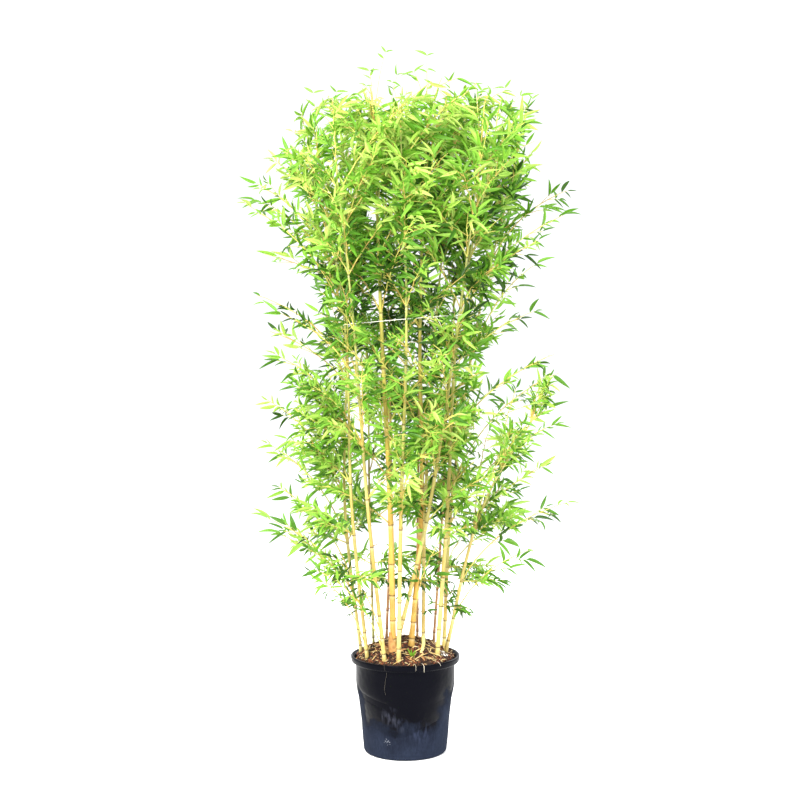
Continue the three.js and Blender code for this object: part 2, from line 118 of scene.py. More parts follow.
# Each cane: where its foot stands, where it is at the waist and at the twine, where its tip is, the
# height of the tip and the radius above the foot. One cane stands free of the twine.
CANE_VALUES = ("foot", "waist", "tied", "tip", "height", "radius")
CANES = [dict(zip(CANE_VALUES, row)) for row in (
    ((-135, 8), (-184, 4), (-184, 6), (-262, 24), 1690, 5.2),
    ((-114, -70), (-159, -88), (-181, -88), (-252, -176), 1740, 5.6),
    ((-98, 88), (-111, 106), (-123, 116), (-176, 236), 1730, 4.2),
    ((-62, -114), (-110, -126), (-154, -132), (-196, -250), 1710, 6.2),
    ((-58, 72), (-44, 82), (-52, 94), (-64, 176), 1850, 4.6),
    ((-36, -82), (-45, -86), (-72, -92), (-92, -150), 1880, 9.2),
    ((-20, -126), (-13, -140), (3, -150), (-14, -262), 1830, 6.6),
    ((-25, -56), (70, -100), (157, -110), (214, -206), 1760, 6.4),
    ((18, -60), (48, -62), (44, -62), (64, -96), 1890, 8.4),
    ((38, 90), (40, 116), (48, 132), (70, 262), 1780, 4.4),
    ((54, -26), (60, -20), (93, -12), (150, 30), 1840, 5.6),
    ((88, 82), (118, 96), (146, 106), (226, 214), 1720, 4.4),
    ((96, -68), (126, -68), (160, -66), (258, -112), 1800, 6.8),
    ((122, -22), (232, -46), None, (412, -92), 1062, 6.0),
    ((118, 22), (141, 26), (222, 32), (336, 78), 1750, 6.2),
)]

# Round a node, from below: distance from it, swelling, darkness and bloom.
NODE_PROFILE = [
    (-12, 1.0, 0.0, 0.05), (-5, 1.0, 0.0, 0.3), (-1.8, 1.02, 0.1, 0.25), (-0.8, 1.13, 0.7, 0.0),
    (0.3, 1.17, 0.95, 0.0), (1.2, 1.05, 0.7, 0.0), (2.8, 1.08, 0.2, 0.0), (5.2, 1.14, 0.05, 0.0),
    (8.2, 1.08, 0.0, 0.0), (13, 1.0, 0.0, 0.0),
]
CULM_SIDES = 16
# Dead side shoots stand on the culms up to this height.
STUBS_BELOW = 900
# Canes over these radii look golden and pale, and thinner ones olive.
GOLDEN_RADIUS = 8
PALE_RADIUS = 5
# Thin canes at the back that the sun has browned.
UMBER_CANES = (4, 9, 11)

# The crown's outline and branches, as in the solids: heights, and how far leaf tips reach at each.
OUTLINE = [(470, 200), (640, 330), (930, 415), (1290, 290), (1480, 370), (1760, 410), (1950, 365),
           (2040, 280), (2125, 100)]
CROWN_TOP = 2118
LEVEL_TOP = 2018
PEAK_REACH = 180
LEAST_RISE = 80
SOLID_LEAF_LENGTH = 150
SIDE_BRANCHES = 18
LOWEST_BRANCH = 610
HIGHEST_BRANCH = 1620
GOLDEN_ANGLE = 2.4
# Each long thin branch that stands out of the crown: its cane, the compass angle in degrees, and the
# height and the reach of its tip.
STRAY_VALUES = ("cane", "angle", "height", "reach")
STRAYS = [dict(zip(STRAY_VALUES, row)) for row in (
    (0, 184, 1650, 505),
    (1, 192, 1355, 495),
    (1, 203, 700, 480),
    (14, 4, 1690, 555),
    (12, -8, 1200, 540),
    (13, -14, 740, 520),
    (9, 92, 1420, 450),
)]

# An outlying branch leaves its cane this far below its tip.
STRAY_RISE = 230
# Thinner outlying branches that only the finer growth has.
FINE_STRAYS = [dict(zip(STRAY_VALUES, row)) for row in (
    (0, 178, 1770, 455),
    (2, 193, 1500, 490),
    (3, 185, 1300, 440),
    (1, 176, 1180, 445),
    (0, 188, 900, 455),
    (1, 182, 640, 420),
    (12, 2, 1600, 530),
    (14, -8, 1440, 440),
    (12, 10, 1310, 430),
    (14, -3, 1120, 505),
    (13, 12, 840, 470),
    (11, -24, 700, 400),
    (0, 186, 1040, 470),
    (2, 168, 1560, 440),
    (3, 216, 560, 400),
    (14, 6, 960, 500),
    (13, -30, 610, 440),
    (12, -16, 1520, 470),
    (8, -70, 640, 330),
    (11, 40, 700, 420),
    (0, 181, 1705, 512),
    (1, 187, 1610, 520),
    (0, 176, 1270, 500),
    (0, 192, 655, 425),
    (1, 208, 535, 360),
    (3, 196, 590, 330),
    (0, 172, 770, 440),
    (13, -50, 930, 430),
    (13, 40, 970, 440),
    (13, -10, 1005, 475),
    (13, 75, 940, 390),
    (13, -75, 1060, 440),
    (13, 5, 890, 420),
)]

# Small leafy sprouts low on the canes: the cane, the height and the compass angle in degrees.
SPROUTS = [(10, 432, -60), (12, 440, 205), (12, 418, -20), (2, 452, 190), (0, 470, 215), (14, 470, 10),
           (9, 470, 60), (11, 450, 30), (4, 500, 120), (1, 520, 110), (1, 455, 200), (3, 470, 165),
           (14, 505, -15), (12, 480, 20), (13, 455, -8), (7, 452, 250)]

# Thin sprays that stand over the crown: the cane each leaves, and its tip.
CROWN_SPRAYS = [
    (5, (-58, -104, 2094)), (5, (-106, -120, 2036)), (4, (-24, 60, 2062)), (8, (26, -84, 2040)),
    (8, (64, -96, 2086)), (10, (132, -20, 2026)), (6, (-40, -170, 1992)), (7, (205, -150, 1990)),
    (0, (-280, 10, 1996)), (2, (-216, 120, 2022)), (4, (-122, 90, 2034)), (9, (92, 150, 2046)),
    (11, (240, 120, 2026)), (14, (306, 40, 2018)), (14, (390, 30, 1982)), (12, (344, -70, 1972)),
]

# What the finer growth adds.
LEAF_LENGTH = 58
LEAF_WIDTH_SHARE = 0.168
LEAF_STEP = 10
TWIG_SPACING = 24
TWIG_LENGTH = 62
TWIG_SIDES = 4
# How many twigs leave each node of a branch.
WHORL = {"stray": 1, "head": 2, "upper": 2, "middle": 2, "skirt": 3}
# No branch leaves a cane below this height, and the canes near the middle stay bare for longer.
LEAFLESS_BELOW = 405
MIDDLE_BARE_FOR = 230
MIDDLE_HALF_WIDTH = 92
# The share of branches that turn inward, lower down and where the canes lean apart.
INWARD_SHARE = 0.16
INWARD_SHARE_HIGH = 0.27
LEANING_APART_ABOVE = 1450
# How far past the crown's edge leaves may reach: on outlying branches, on the cane that stands free of
# the tie, and elsewhere.
STRAY_SLACK = 160
FREE_SLACK = 120
TIED_SLACK = 22
# How much the crown's edge comes and goes, and over what distance.
EDGE_WAVES = [(0.2, 110), (0.12, 36)]
# The crown's top falls away to the front and the back, and follows its edge in and out.
TOP_FALL = 0.27
TOP_RAGGEDNESS = 330
# How far the crown's middle stands aside of the pot's at each height.
LEAN = [(470, 0), (1213, -10), (1365, 10), (1517, 28), (1821, 22), (1973, 50), (2118, 10)]
# How far right of the middle the tied canes' growth reaches at each height. Sky shows between it and
# the free cane's. It reaches a little farther at the front and the back, and is ragged too.
RIGHT_REACH = [(520, 400), (680, 205), (1090, 190), (1270, 400), (1400, 700)]
RIGHT_SPREAD = 0.15
RIGHT_RAGGEDNESS = 3
# How many of the twigs that could grow at each height do grow.
FULLNESS = [(430, 0.9), (620, 1.0), (800, 0.98), (950, 0.86), (1150, 0.86), (1320, 0.96), (1950, 0.98),
            (2110, 0.8)]
# How large the leaves are at each height, against the usual.
LEAF_SCALE = [(430, 0.66), (620, 0.85), (900, 0.8), (1300, 0.8), (1600, 0.9), (1900, 0.92), (2110, 0.8)]
# Leaf tones from the darkest to the yellowest, each with the colour of light through it. The darker ones are
# also dealt out as painted shade.
TONES = [
    ("shade", "#2A4A12", "#4C7C1A"),
    ("deep", "#3F7019", "#6EA024"),
    ("mid", "#5C9628", "#90BE36"),
    ("fresh", "#7EB63C", "#AEDA50"),
    ("lime", "#9EC950", "#C6E66C"),
    ("yellow", "#B8D568", "#D8EC86"),
]
# How bright the foliage is at each height, from 0 for shade to 1 for yellow: partly the leaves' own tones and
# partly painted shade, which darkens the waist under the upper crown.
BRIGHTNESS = [(450, 0.45), (700, 0.54), (950, 0.61), (1200, 0.5), (1380, 0.38), (1600, 0.59), (1850, 0.76),
              (2120, 0.76)]
# How much darker the upper right, the inside (as painted shade) and the outlying leaves are, and how much the
# twigs differ.
RIGHT_DARKENING = 0.28
INSIDE_PAINTED_SHADE = 0.34
STRAY_DARKENING = 0.1
TONE_SPREAD = 0.7
# No leaf hangs close before one of the front canes between two heights.
FRONT_CANES = (1, 3, 5, 6, 7, 8, 12)
BARE_FROM = 560
BARE_TO = 1320
BARE_REACH = 11
LINE_STEP = 10

# The small leaves of sprays and sprouts, and the blades of the shoot in the mix: their width as a share
# of their length, and where the shoot stands.
SMALL_LEAF_SHARE = 0.2
SHOOT_LEAF_SHARE = 0.17
SHOOT_PLACE = (20, -112)

# Bare growth at the foot in front, as places and a radius: a cane cut off over a node, and a pale shoot
# that bends over to the rim.
CUT_CANE = [(14, 24, 318, 6.6), (18, 19, 352, 6.0), (19, 18, 356, 6.9), (20, 17, 361, 6.0),
            (22, 14, 371, 5.8), (22.2, 13.7, 372, 5.4)]
BENT_SHOOT = [(54, -34, 348, 5.2), (55, -58, 334, 5.0), (50, -80, 318, 4.6), (40, -98, 304, 3.6),
              (32, -111, 292, 2.2), (27, -119, 284, 0.8)]
# The cane whose foot a sheath still clasps, how tall the sheath is and the way it faces in degrees.
SHEATHED_CANE = 5
SHEATH_HEIGHT = 62
SHEATH_FACING = 215
# Roots over the rim: the compass angle in degrees, how far each hangs and how thick it is.
RIM_ROOTS = [(-71.0, 15, 0.75), (-79.5, 9, 0.35), (-52, 3, 0.5)]
ROOT_SIDES = 5
# White scraps lie in a patch round the feet of the right-hand canes: its corner and its size.
SCRAPS = 16
SCRAP_CORNER = (99, -64)
SCRAP_PATCH = (27, 24)

# The twine: how far its middle line stands off the canes, the radius of a strand's line round it, the
# steps in a turn of the strands, and how far right of the middle the knot sits.
TWINE_RADIUS = 1.4
PLY_RADIUS = 0.6
PLY_PITCH = 5
KNOT_ASIDE = 78

# The groups of the foliage solids, and the heights where two of them begin.
ZONES = ("stray", "head", "upper", "middle", "skirt")
HEAD_FROM = 1560
MIDDLE_FROM = 940


def linear(hex_colour):
    """An sRGB hex colour as the linear colour that a shader takes."""
    channels = [int(hex_colour[i:i + 2], 16) / 255 for i in (1, 3, 5)]
    return [c / 12.92 if c <= 0.04045 else ((c + 0.055) / 1.055) ** 2.4 for c in channels] + [1.0]


def add_node(tree, kind, settings=None, links=None):
    """Adds a node with its settings; links gives its inputs their sockets or values."""
    node = tree.nodes.new(kind)
    for name, value in (settings or {}).items():
        setattr(node, name, value)
    for name, source in (links or {}).items():
        if isinstance(source, bpy.types.NodeSocket):
            tree.links.new(source, node.inputs[name])
        else:
            node.inputs[name].default_value = source
    return node


def seeded(seed):
    """The same run of numbers from 0 to 1 that the solids draw for a seed."""
    state = seed & 0xFFFFFFFF

    def draw():
        nonlocal state
        state = (state + 0x6D2B79F5) & 0xFFFFFFFF
        mixed = ((state ^ (state >> 15)) * (1 | state)) & 0xFFFFFFFF
        mixed = ((mixed + (mixed ^ (mixed >> 7)) * (61 | mixed)) & 0xFFFFFFFF) ^ mixed
        return (mixed ^ (mixed >> 14)) / 4294967296

    return draw


def clamp(value, low, high):
    return max(low, min(high, value))


def blend(low, high, share):
    return low + (high - low) * share


def eased(share):
    share = clamp(share, 0, 1)
    return share * share * (3 - 2 * share)


def compass(angle):
    return Vector((math.cos(angle), math.sin(angle), 0))


def between(rows, height):
    """The value that a table of heights and values has at a height."""
    if height <= rows[0][0]:
        return rows[0][1]
    for (low, near), (high, far) in zip(rows, rows[1:]):
        if height <= high:
            return blend(near, far, eased((height - low) / (high - low)))
    return rows[-1][1]


# Finishes

def new_finish(name):
    """A material with a bare Principled shader, and its tree."""
    finish = bpy.data.materials.new(name)
    finish.use_nodes = True
    return finish, finish.node_tree, finish.node_tree.nodes["Principled BSDF"]


def waxy_culm_skin(name, body, tinge, streak, young):
    """Bamboo culm: a hard waxy skin, streaked along its length, with dark nodes over a pale bloom."""
    finish, tree, shader = new_finish(name)
    place = add_node(tree, "ShaderNodeTexCoord").outputs["Object"]
    # Streaks about 2 mm wide and 80 mm long.
    stretched = add_node(tree, "ShaderNodeMapping", links={"Vector": place, "Scale": (1, 1, 0.025)})
    streaks = add_node(tree, "ShaderNodeTexNoise",
                       links={"Vector": stretched.outputs[0], "Scale": 520, "Detail": 3})
    # Patches the length of an internode, where the sun has turned the skin.
    broad = add_node(tree, "ShaderNodeMapping", links={"Vector": place, "Scale": (1, 1, 0.35)})
    patches = add_node(tree, "ShaderNodeTexNoise",
                       links={"Vector": broad.outputs[0], "Scale": 16, "Detail": 1})
    sunned = add_node(tree, "ShaderNodeMapRange", links={"Value": patches.outputs[0], 1: 0.4, 2: 0.68})
    colour = add_node(tree, "ShaderNodeMix", {"data_type": "RGBA"},
                      {0: sunned.outputs[0], 6: linear(body), 7: linear(tinge)}).outputs[2]
    lined = add_node(tree, "ShaderNodeMapRange",
                     links={"Value": streaks.outputs[0], 1: 0.5, 2: 0.74, 4: 0.55})
    colour = add_node(tree, "ShaderNodeMix", {"data_type": "RGBA"},
                      {0: lined.outputs[0], 6: colour, 7: linear(streak)}).outputs[2]
    # The upper culm is younger and greener.
    height = add_node(tree, "ShaderNodeSeparateXYZ", links={"Vector": place}).outputs["Z"]
    age = add_node(tree, "ShaderNodeMapRange", links={"Value": height, 1: 0.7, 2: 1.35})
    colour = add_node(tree, "ShaderNodeMix", {"data_type": "RGBA"},
                      {0: age.outputs[0], 6: colour, 7: linear(young)}).outputs[2]
    bloom = add_node(tree, "ShaderNodeAttribute", {"attribute_name": "bloom"}).outputs["Fac"]
    colour = add_node(tree, "ShaderNodeMix", {"data_type": "RGBA"},
                      {0: bloom, 6: colour, 7: linear("#E6DDB0")}).outputs[2]
    ring = add_node(tree, "ShaderNodeAttribute", {"attribute_name": "ring"}).outputs["Fac"]
    # The dark ring is worn through in places.
    wear = add_node(tree, "ShaderNodeTexNoise", links={"Vector": place, "Scale": 130, "Detail": 2})
    kept = add_node(tree, "ShaderNodeMapRange", links={"Value": wear.outputs[0], 1: 0.36, 2: 0.52, 3: 0.5})
    dark = add_node(tree, "ShaderNodeMath", {"operation": "MULTIPLY"}, {0: ring, 1: kept.outputs[0]})
    colour = add_node(tree, "ShaderNodeMix", {"data_type": "RGBA"},
                      {0: dark.outputs[0], 6: colour, 7: linear("#3E2713")}).outputs[2]
    tree.links.new(colour, shader.inputs["Base Color"])
    gloss = add_node(tree, "ShaderNodeMapRange", links={"Value": ring, 3: 0.36, 4: 0.75})
    tree.links.new(gloss.outputs[0], shader.inputs["Roughness"])
    relief = add_node(tree, "ShaderNodeBump",
                      links={"Height": streaks.outputs[0], "Strength": 0.25, "Distance": 0.0004})
    tree.links.new(relief.outputs[0], shader.inputs["Normal"])
    shader.inputs["IOR"].default_value = 1.45
    return finish


def bamboo_leaf(name, colour, lit):
    """Bamboo leaf: a thin satin blade with fine veins along it, which lets some light through."""
    finish, tree, shader = new_finish(name)
    shader.inputs["Base Color"].default_value = linear(colour)
    shader.inputs["Roughness"].default_value = 0.42
    shader.inputs["IOR"].default_value = 1.4
    # Eighteen veins side by side across the blade, in the leaf's own map.
    plan = add_node(tree, "ShaderNodeUVMap", {"uv_map": "leaf"}).outputs[0]
    veins = add_node(tree, "ShaderNodeTexWave", {"bands_direction": "Y"}, {"Vector": plan, "Scale": 5.6})
    relief = add_node(tree, "ShaderNodeBump",
                      links={"Height": veins.outputs[1], "Strength": 0.3, "Distance": 0.0003})
    tree.links.new(relief.outputs[0], shader.inputs["Normal"])
    through = add_node(tree, "ShaderNodeBsdfTranslucent",
                       links={"Color": linear(lit), "Normal": relief.outputs[0]})
    both = add_node(tree, "ShaderNodeMixShader", links={0: 0.26, 1: shader.outputs[0], 2: through.outputs[0]})
    tree.links.new(both.outputs[0], tree.nodes["Material Output"].inputs["Surface"])
    return finish


def green_twig(name, body, tinge):
    """Young bamboo twig: a thin smooth skin that turns from green to straw along its length."""
    finish, tree, shader = new_finish(name)
    place = add_node(tree, "ShaderNodeTexCoord").outputs["Object"]
    patches = add_node(tree, "ShaderNodeTexNoise", links={"Vector": place, "Scale": 22, "Detail": 1})
    turned = add_node(tree, "ShaderNodeMapRange", links={"Value": patches.outputs[0], 1: 0.42, 2: 0.6})
    colour = add_node(tree, "ShaderNodeMix", {"data_type": "RGBA"},
                      {0: turned.outputs[0], 6: linear(body), 7: linear(tinge)}).outputs[2]
    tree.links.new(colour, shader.inputs["Base Color"])
    shader.inputs["Roughness"].default_value = 0.5
    return finish


def spot_mask(tree, place, x, z, radius):
    """Falls from 1 at a spot on the pot's front to 0 at a radius round it. Metres, as on the piece."""
    front = -0.13
    flattening = 3
    centred = add_node(tree, "ShaderNodeMapping", links={
        "Vector": place, "Location": (-x / radius, -front * flattening, -z / radius),
        "Scale": (1 / radius, flattening, 1 / radius)})
    spot = add_node(tree, "ShaderNodeTexGradient", {"gradient_type": "SPHERICAL"},
                    {"Vector": centred.outputs[0]})
    return spot.outputs["Fac"]


def below_dust_and_sheen_border(tree, place):
    """How far below the ragged upper border of the dust and of the painted sheen a place on the pot is."""
    parts = add_node(tree, "ShaderNodeSeparateXYZ", links={"Vector": place})
    # The border wanders up and down by 40 mm, and climbs at the left and right edges, where the blue-grey is
    # a painted reflection, not dust.
    wander = add_node(tree, "ShaderNodeTexNoise",
                      links={"Vector": place, "Scale": 15, "Detail": 7, "Roughness": 0.66})
    drift = add_node(tree, "ShaderNodeMapRange",
                     links={"Value": wander.outputs[0], 1: 0.3, 2: 0.7, 3: -0.04, 4: 0.04})
    # These climbs at the edges paint a reflection along the pot's sides in the dust's blue-grey.
    right = add_node(tree, "ShaderNodeMapRange", {"interpolation_type": "SMOOTHSTEP"},
                     {"Value": parts.outputs["X"], 1: 0.075, 2: 0.132, 3: 0.0, 4: 0.1})
    left = add_node(tree, "ShaderNodeMapRange", {"interpolation_type": "SMOOTHSTEP"},
                    {"Value": parts.outputs["X"], 1: -0.134, 2: -0.108, 3: 0.06, 4: -0.012})
    sides = add_node(tree, "ShaderNodeMath", {"operation": "ADD"}, {0: left.outputs[0], 1: right.outputs[0]})
    level = add_node(tree, "ShaderNodeMath", {"operation": "ADD"}, {0: drift.outputs[0], 1: sides.outputs[0]})
    below = add_node(tree, "ShaderNodeMath", {"operation": "SUBTRACT"},
                     {0: level.outputs[0], 1: parts.outputs["Z"]})
    return below.outputs[0]


def marked(tree, place, smears, colour):
    """A colour with dried splashes that run down from the dust's border, and white rubbed scuffs."""
    runs = add_node(tree, "ShaderNodeTexNoise", links={"Vector": smears, "Scale": 110, "Detail": 3})
    dried = add_node(tree, "ShaderNodeMapRange", links={"Value": runs.outputs[0], 1: 0.46, 2: 0.7, 4: 0.7})
    rubs = add_node(tree, "ShaderNodeTexNoise",
                    links={"Vector": place, "Scale": 190, "Detail": 3, "Distortion": 1.5})
    worn = add_node(tree, "ShaderNodeMapRange", links={"Value": rubs.outputs[0], 1: 0.58, 2: 0.66})
    flaws = {"splash": dried.outputs[0], "scuff": worn.outputs[0]}
    for x, z, radius, kind, tint in POT_MARKS:
        spot = spot_mask(tree, place, x * MM, z * MM, radius * MM)
        near = add_node(tree, "ShaderNodeMapRange", links={"Value": spot, 1: 0.0, 2: 0.6})
        shown = add_node(tree, "ShaderNodeMath", {"operation": "MULTIPLY"},
                         {0: near.outputs[0], 1: flaws[kind]})
        colour = add_node(tree, "ShaderNodeMix", {"data_type": "RGBA"},
                          {0: shown.outputs[0], 6: colour, 7: linear(tint)}).outputs[2]
    return colour


def dusty_polypropylene_with_painted_sheen():
    """Blow-moulded black polypropylene: glossy above, and dull blue-grey with dust and scuffs below. Up the
    left and right edges the blue-grey is a painted reflection.
    """
    finish, tree, shader = new_finish("black_polypropylene")
    place = add_node(tree, "ShaderNodeTexCoord").outputs["Object"]
    below = below_dust_and_sheen_border(tree, place)
    # Dust below the border, and painted reflection where the border climbs at the edges.
    dust = add_node(tree, "ShaderNodeMapRange", {"interpolation_type": "SMOOTHSTEP"},
                    {"Value": below, 1: -0.13, 2: -0.095})
    thicker = add_node(tree, "ShaderNodeMapRange",
                       links={"Value": below, 1: -0.125, 2: -0.03, 3: 0.3, 4: 1.0})
    # Grains and smears that show at about 1 mm.
    smears = add_node(tree, "ShaderNodeMapping", links={"Vector": place, "Scale": (1, 1, 0.3)})
    grain = add_node(tree, "ShaderNodeTexNoise",
                     links={"Vector": smears.outputs[0], "Scale": 240, "Detail": 5, "Roughness": 0.7})
    speckle = add_node(tree, "ShaderNodeMapRange",
                       links={"Value": grain.outputs[0], 1: 0.35, 2: 0.75, 3: 0.6, 4: 1.0})
    grainy = add_node(tree, "ShaderNodeMath", {"operation": "MULTIPLY"},
                      {0: dust.outputs[0], 1: speckle.outputs[0]})
    cover = add_node(tree, "ShaderNodeMath", {"operation": "MULTIPLY"},
                     {0: grainy.outputs[0], 1: thicker.outputs[0]})
    colour = add_node(tree, "ShaderNodeMix", {"data_type": "RGBA"},
                      {0: cover.outputs[0], 6: linear("#060609"), 7: linear("#272E3E")}).outputs[2]
    colour = marked(tree, place, smears.outputs[0], colour)
    tree.links.new(colour, shader.inputs["Base Color"])
    gloss = add_node(tree, "ShaderNodeMapRange", links={"Value": dust.outputs[0], 3: 0.34, 4: 0.85})
    tree.links.new(gloss.outputs[0], shader.inputs["Roughness"])
    # The wall's shallow unevenness, as the mould left it.
    waves = add_node(tree, "ShaderNodeTexNoise", links={"Vector": place, "Scale": 22, "Detail": 2})
    uneven = add_node(tree, "ShaderNodeBump",
                      links={"Height": waves.outputs[0], "Strength": 0.5, "Distance": 0.005})
    fine = add_node(tree, "ShaderNodeBump", links={
        "Height": grain.outputs[0], "Strength": 0.2, "Distance": 0.0006, "Normal": uneven.outputs[0]})
    tree.links.new(fine.outputs[0], shader.inputs["Normal"])
    shader.inputs["IOR"].default_value = 1.49
    shader.inputs["Specular IOR Level"].default_value = 0.06
    shader.inputs["Specular Tint"].default_value = linear("#C4CBF2")
    return finish


def crumbled_matter(name, dark, light, scale, roughness=0.95):
    """Dry plant matter, such as composted bark, straw or sheath: dull and mottled in two close colours."""
    finish, tree, shader = new_finish(name)
    place = add_node(tree, "ShaderNodeTexCoord").outputs["Object"]
    crumbs = add_node(tree, "ShaderNodeTexNoise",
                      links={"Vector": place, "Scale": scale, "Detail": 6, "Roughness": 0.7})
    spread = add_node(tree, "ShaderNodeMapRange", links={"Value": crumbs.outputs[0], 1: 0.32, 2: 0.68})
    colour = add_node(tree, "ShaderNodeMix", {"data_type": "RGBA"},
                      {0: spread.outputs[0], 6: linear(dark), 7: linear(light)}).outputs[2]
    tree.links.new(colour, shader.inputs["Base Color"])
    shader.inputs["Roughness"].default_value = roughness
    relief = add_node(tree, "ShaderNodeBump",
                      links={"Height": crumbs.outputs[0], "Strength": 0.8, "Distance": 0.0015})
    tree.links.new(relief.outputs[0], shader.inputs["Normal"])
    return finish


def cotton_twine():
    """Twisted cotton twine: soft, matt and off-white."""
    finish, tree, shader = new_finish("cotton_twine")
    place = add_node(tree, "ShaderNodeTexCoord").outputs["Object"]
    # Fibres about half a millimetre apart.
    fibres = add_node(tree, "ShaderNodeTexNoise", links={"Vector": place, "Scale": 2200, "Detail": 2})
    colour = add_node(tree, "ShaderNodeMix", {"data_type": "RGBA"},
                      {0: fibres.outputs[0], 6: linear("#D6D2C2"), 7: linear("#FBFAF4")}).outputs[2]
    tree.links.new(colour, shader.inputs["Base Color"])
    shader.inputs["Roughness"].default_value = 0.9
    shader.inputs["Sheen Weight"].default_value = 0.3
    relief = add_node(tree, "ShaderNodeBump",
                      links={"Height": fibres.outputs[0], "Strength": 0.5, "Distance": 0.0002})
    tree.links.new(relief.outputs[0], shader.inputs["Normal"])
    return finish


def plain_floor():
    """Matt white studio floor."""
    finish, _, shader = new_finish("studio_floor")
    shader.inputs["Base Color"].default_value = linear("#FAFAFA")
    shader.inputs["Roughness"].default_value = 0.9
    # A little light of its own keeps the far floor as white as the wall behind.
    shader.inputs["Emission Color"].default_value = linear("#FFFFFF")
    shader.inputs["Emission Strength"].default_value = 0.12
    return finish


# Node trees

def new_tree(name, inputs):
    """A geometry node tree with one geometry input, the named inputs and one geometry output."""
    tree = bpy.data.node_groups.new(name, "GeometryNodeTree")
    tree.interface.new_socket("Geometry", in_out="INPUT", socket_type="NodeSocketGeometry")
    for label, kind in inputs.items():
        tree.interface.new_socket(label, in_out="INPUT", socket_type=kind)
    tree.interface.new_socket("Geometry", in_out="OUTPUT", socket_type="NodeSocketGeometry")
    return tree, add_node(tree, "NodeGroupInput").outputs


def sweep_tree():
    """Polylines become closed tubes, as thick at each point as its thickness says."""
    tree, given = new_tree("tubes_on_paths", {"Sides": "NodeSocketInt", "Finish": "NodeSocketMaterial"})
    thickness = add_node(tree, "GeometryNodeInputNamedAttribute",
                         {"data_type": "FLOAT"}, {"Name": "thickness"})
    curve = add_node(tree, "GeometryNodeMeshToCurve", links={"Mesh": given["Geometry"]})
    ring = add_node(tree, "GeometryNodeCurvePrimitiveCircle",
                    links={"Resolution": given["Sides"], "Radius": 1.0})
    tube = add_node(tree, "GeometryNodeCurveToMesh", links={
        "Curve": curve.outputs[0], "Profile Curve": ring.outputs[0],
        "Scale": thickness.outputs[0], "Fill Caps": True})
    smooth = add_node(tree, "GeometryNodeSetShadeSmooth", links={"Geometry": tube.outputs[0]})
    real = add_node(tree, "GeometryNodeRealizeInstances", links={"Geometry": smooth.outputs[0]})
    done = add_node(tree, "GeometryNodeSetMaterial",
                    links={"Geometry": real.outputs[0], "Material": given["Finish"]})
    add_node(tree, "NodeGroupOutput", links={"Geometry": done.outputs[0]})
    return tree


def planting_tree():
    """Every point gets one of the shapes, turned and sized as the point says."""
    tree, given = new_tree("shapes_on_points",
                           {"Shapes": "NodeSocketCollection", "Finish": "NodeSocketMaterial"})
    turn = add_node(tree, "GeometryNodeInputNamedAttribute", {"data_type": "QUATERNION"}, {"Name": "turn"})
    size = add_node(tree, "GeometryNodeInputNamedAttribute", {"data_type": "FLOAT_VECTOR"}, {"Name": "size"})
    form = add_node(tree, "GeometryNodeInputNamedAttribute", {"data_type": "INT"}, {"Name": "form"})
    shapes = add_node(tree, "GeometryNodeCollectionInfo", links={
        "Collection": given["Shapes"], "Separate Children": True, "Reset Children": True})
    planted = add_node(tree, "GeometryNodeInstanceOnPoints", links={
        "Points": given["Geometry"], "Instance": shapes.outputs[0], "Pick Instance": True,
        "Instance Index": form.outputs[0], "Rotation": turn.outputs[0], "Scale": size.outputs[0]})
    real = add_node(tree, "GeometryNodeRealizeInstances", links={"Geometry": planted.outputs[0]})
    done = add_node(tree, "GeometryNodeSetMaterial",
                    links={"Geometry": real.outputs[0], "Material": given["Finish"]})
    add_node(tree, "NodeGroupOutput", links={"Geometry": done.outputs[0]})
    return tree


def run_tree(piece, tree, values):
    """Runs a node tree on a piece and keeps the result as its plain mesh."""
    modifier = piece.modifiers.new(tree.name, "NODES")
    modifier.node_group = tree
    sockets = {item.name: item.identifier for item in tree.interface.items_tree if item.in_out == "INPUT"}
    for name, value in values.items():
        modifier[sockets[name]] = value
    evaluated = piece.evaluated_get(bpy.context.evaluated_depsgraph_get())
    mesh = bpy.data.meshes.new_from_object(evaluated)
    piece.modifiers.remove(modifier)
    piece.data = mesh
    mesh.name = piece.name
    return piece


def new_piece(name, mesh):
    piece = bpy.data.objects.new(name, mesh)
    bpy.context.scene.collection.objects.link(piece)
    return piece


def dress(piece, nodes=()):
    """The piece moves with the plant and stands for its solids."""
    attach(piece, "root")
    if nodes:
        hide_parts(*nodes)


TUBES = sweep_tree()
PLANTING = planting_tree()


def tubes(name, paths, sides, finish):
    """A piece of closed tubes. A path is a list of points: place, radius and its marks."""
    mesh = bpy.data.meshes.new(name)
    edges = []
    start = 0
    for path in paths:
        edges += [(start + i, start + i + 1) for i in range(len(path) - 1)]
        start += len(path)
    points = [point for path in paths for point in path]
    mesh.from_pydata([place * MM for place, _, _ in points], edges, [])
    thickness = [radius * MM for _, radius, _ in points]
    mesh.attributes.new("thickness", "FLOAT", "POINT").data.foreach_set("value", thickness)
    for mark in points[0][2]:
        values = [marks[mark] for _, _, marks in points]
        mesh.attributes.new(mark, "FLOAT", "POINT").data.foreach_set("value", values)
    return run_tree(new_piece(name, mesh), TUBES, {"Sides": sides, "Finish": finish})


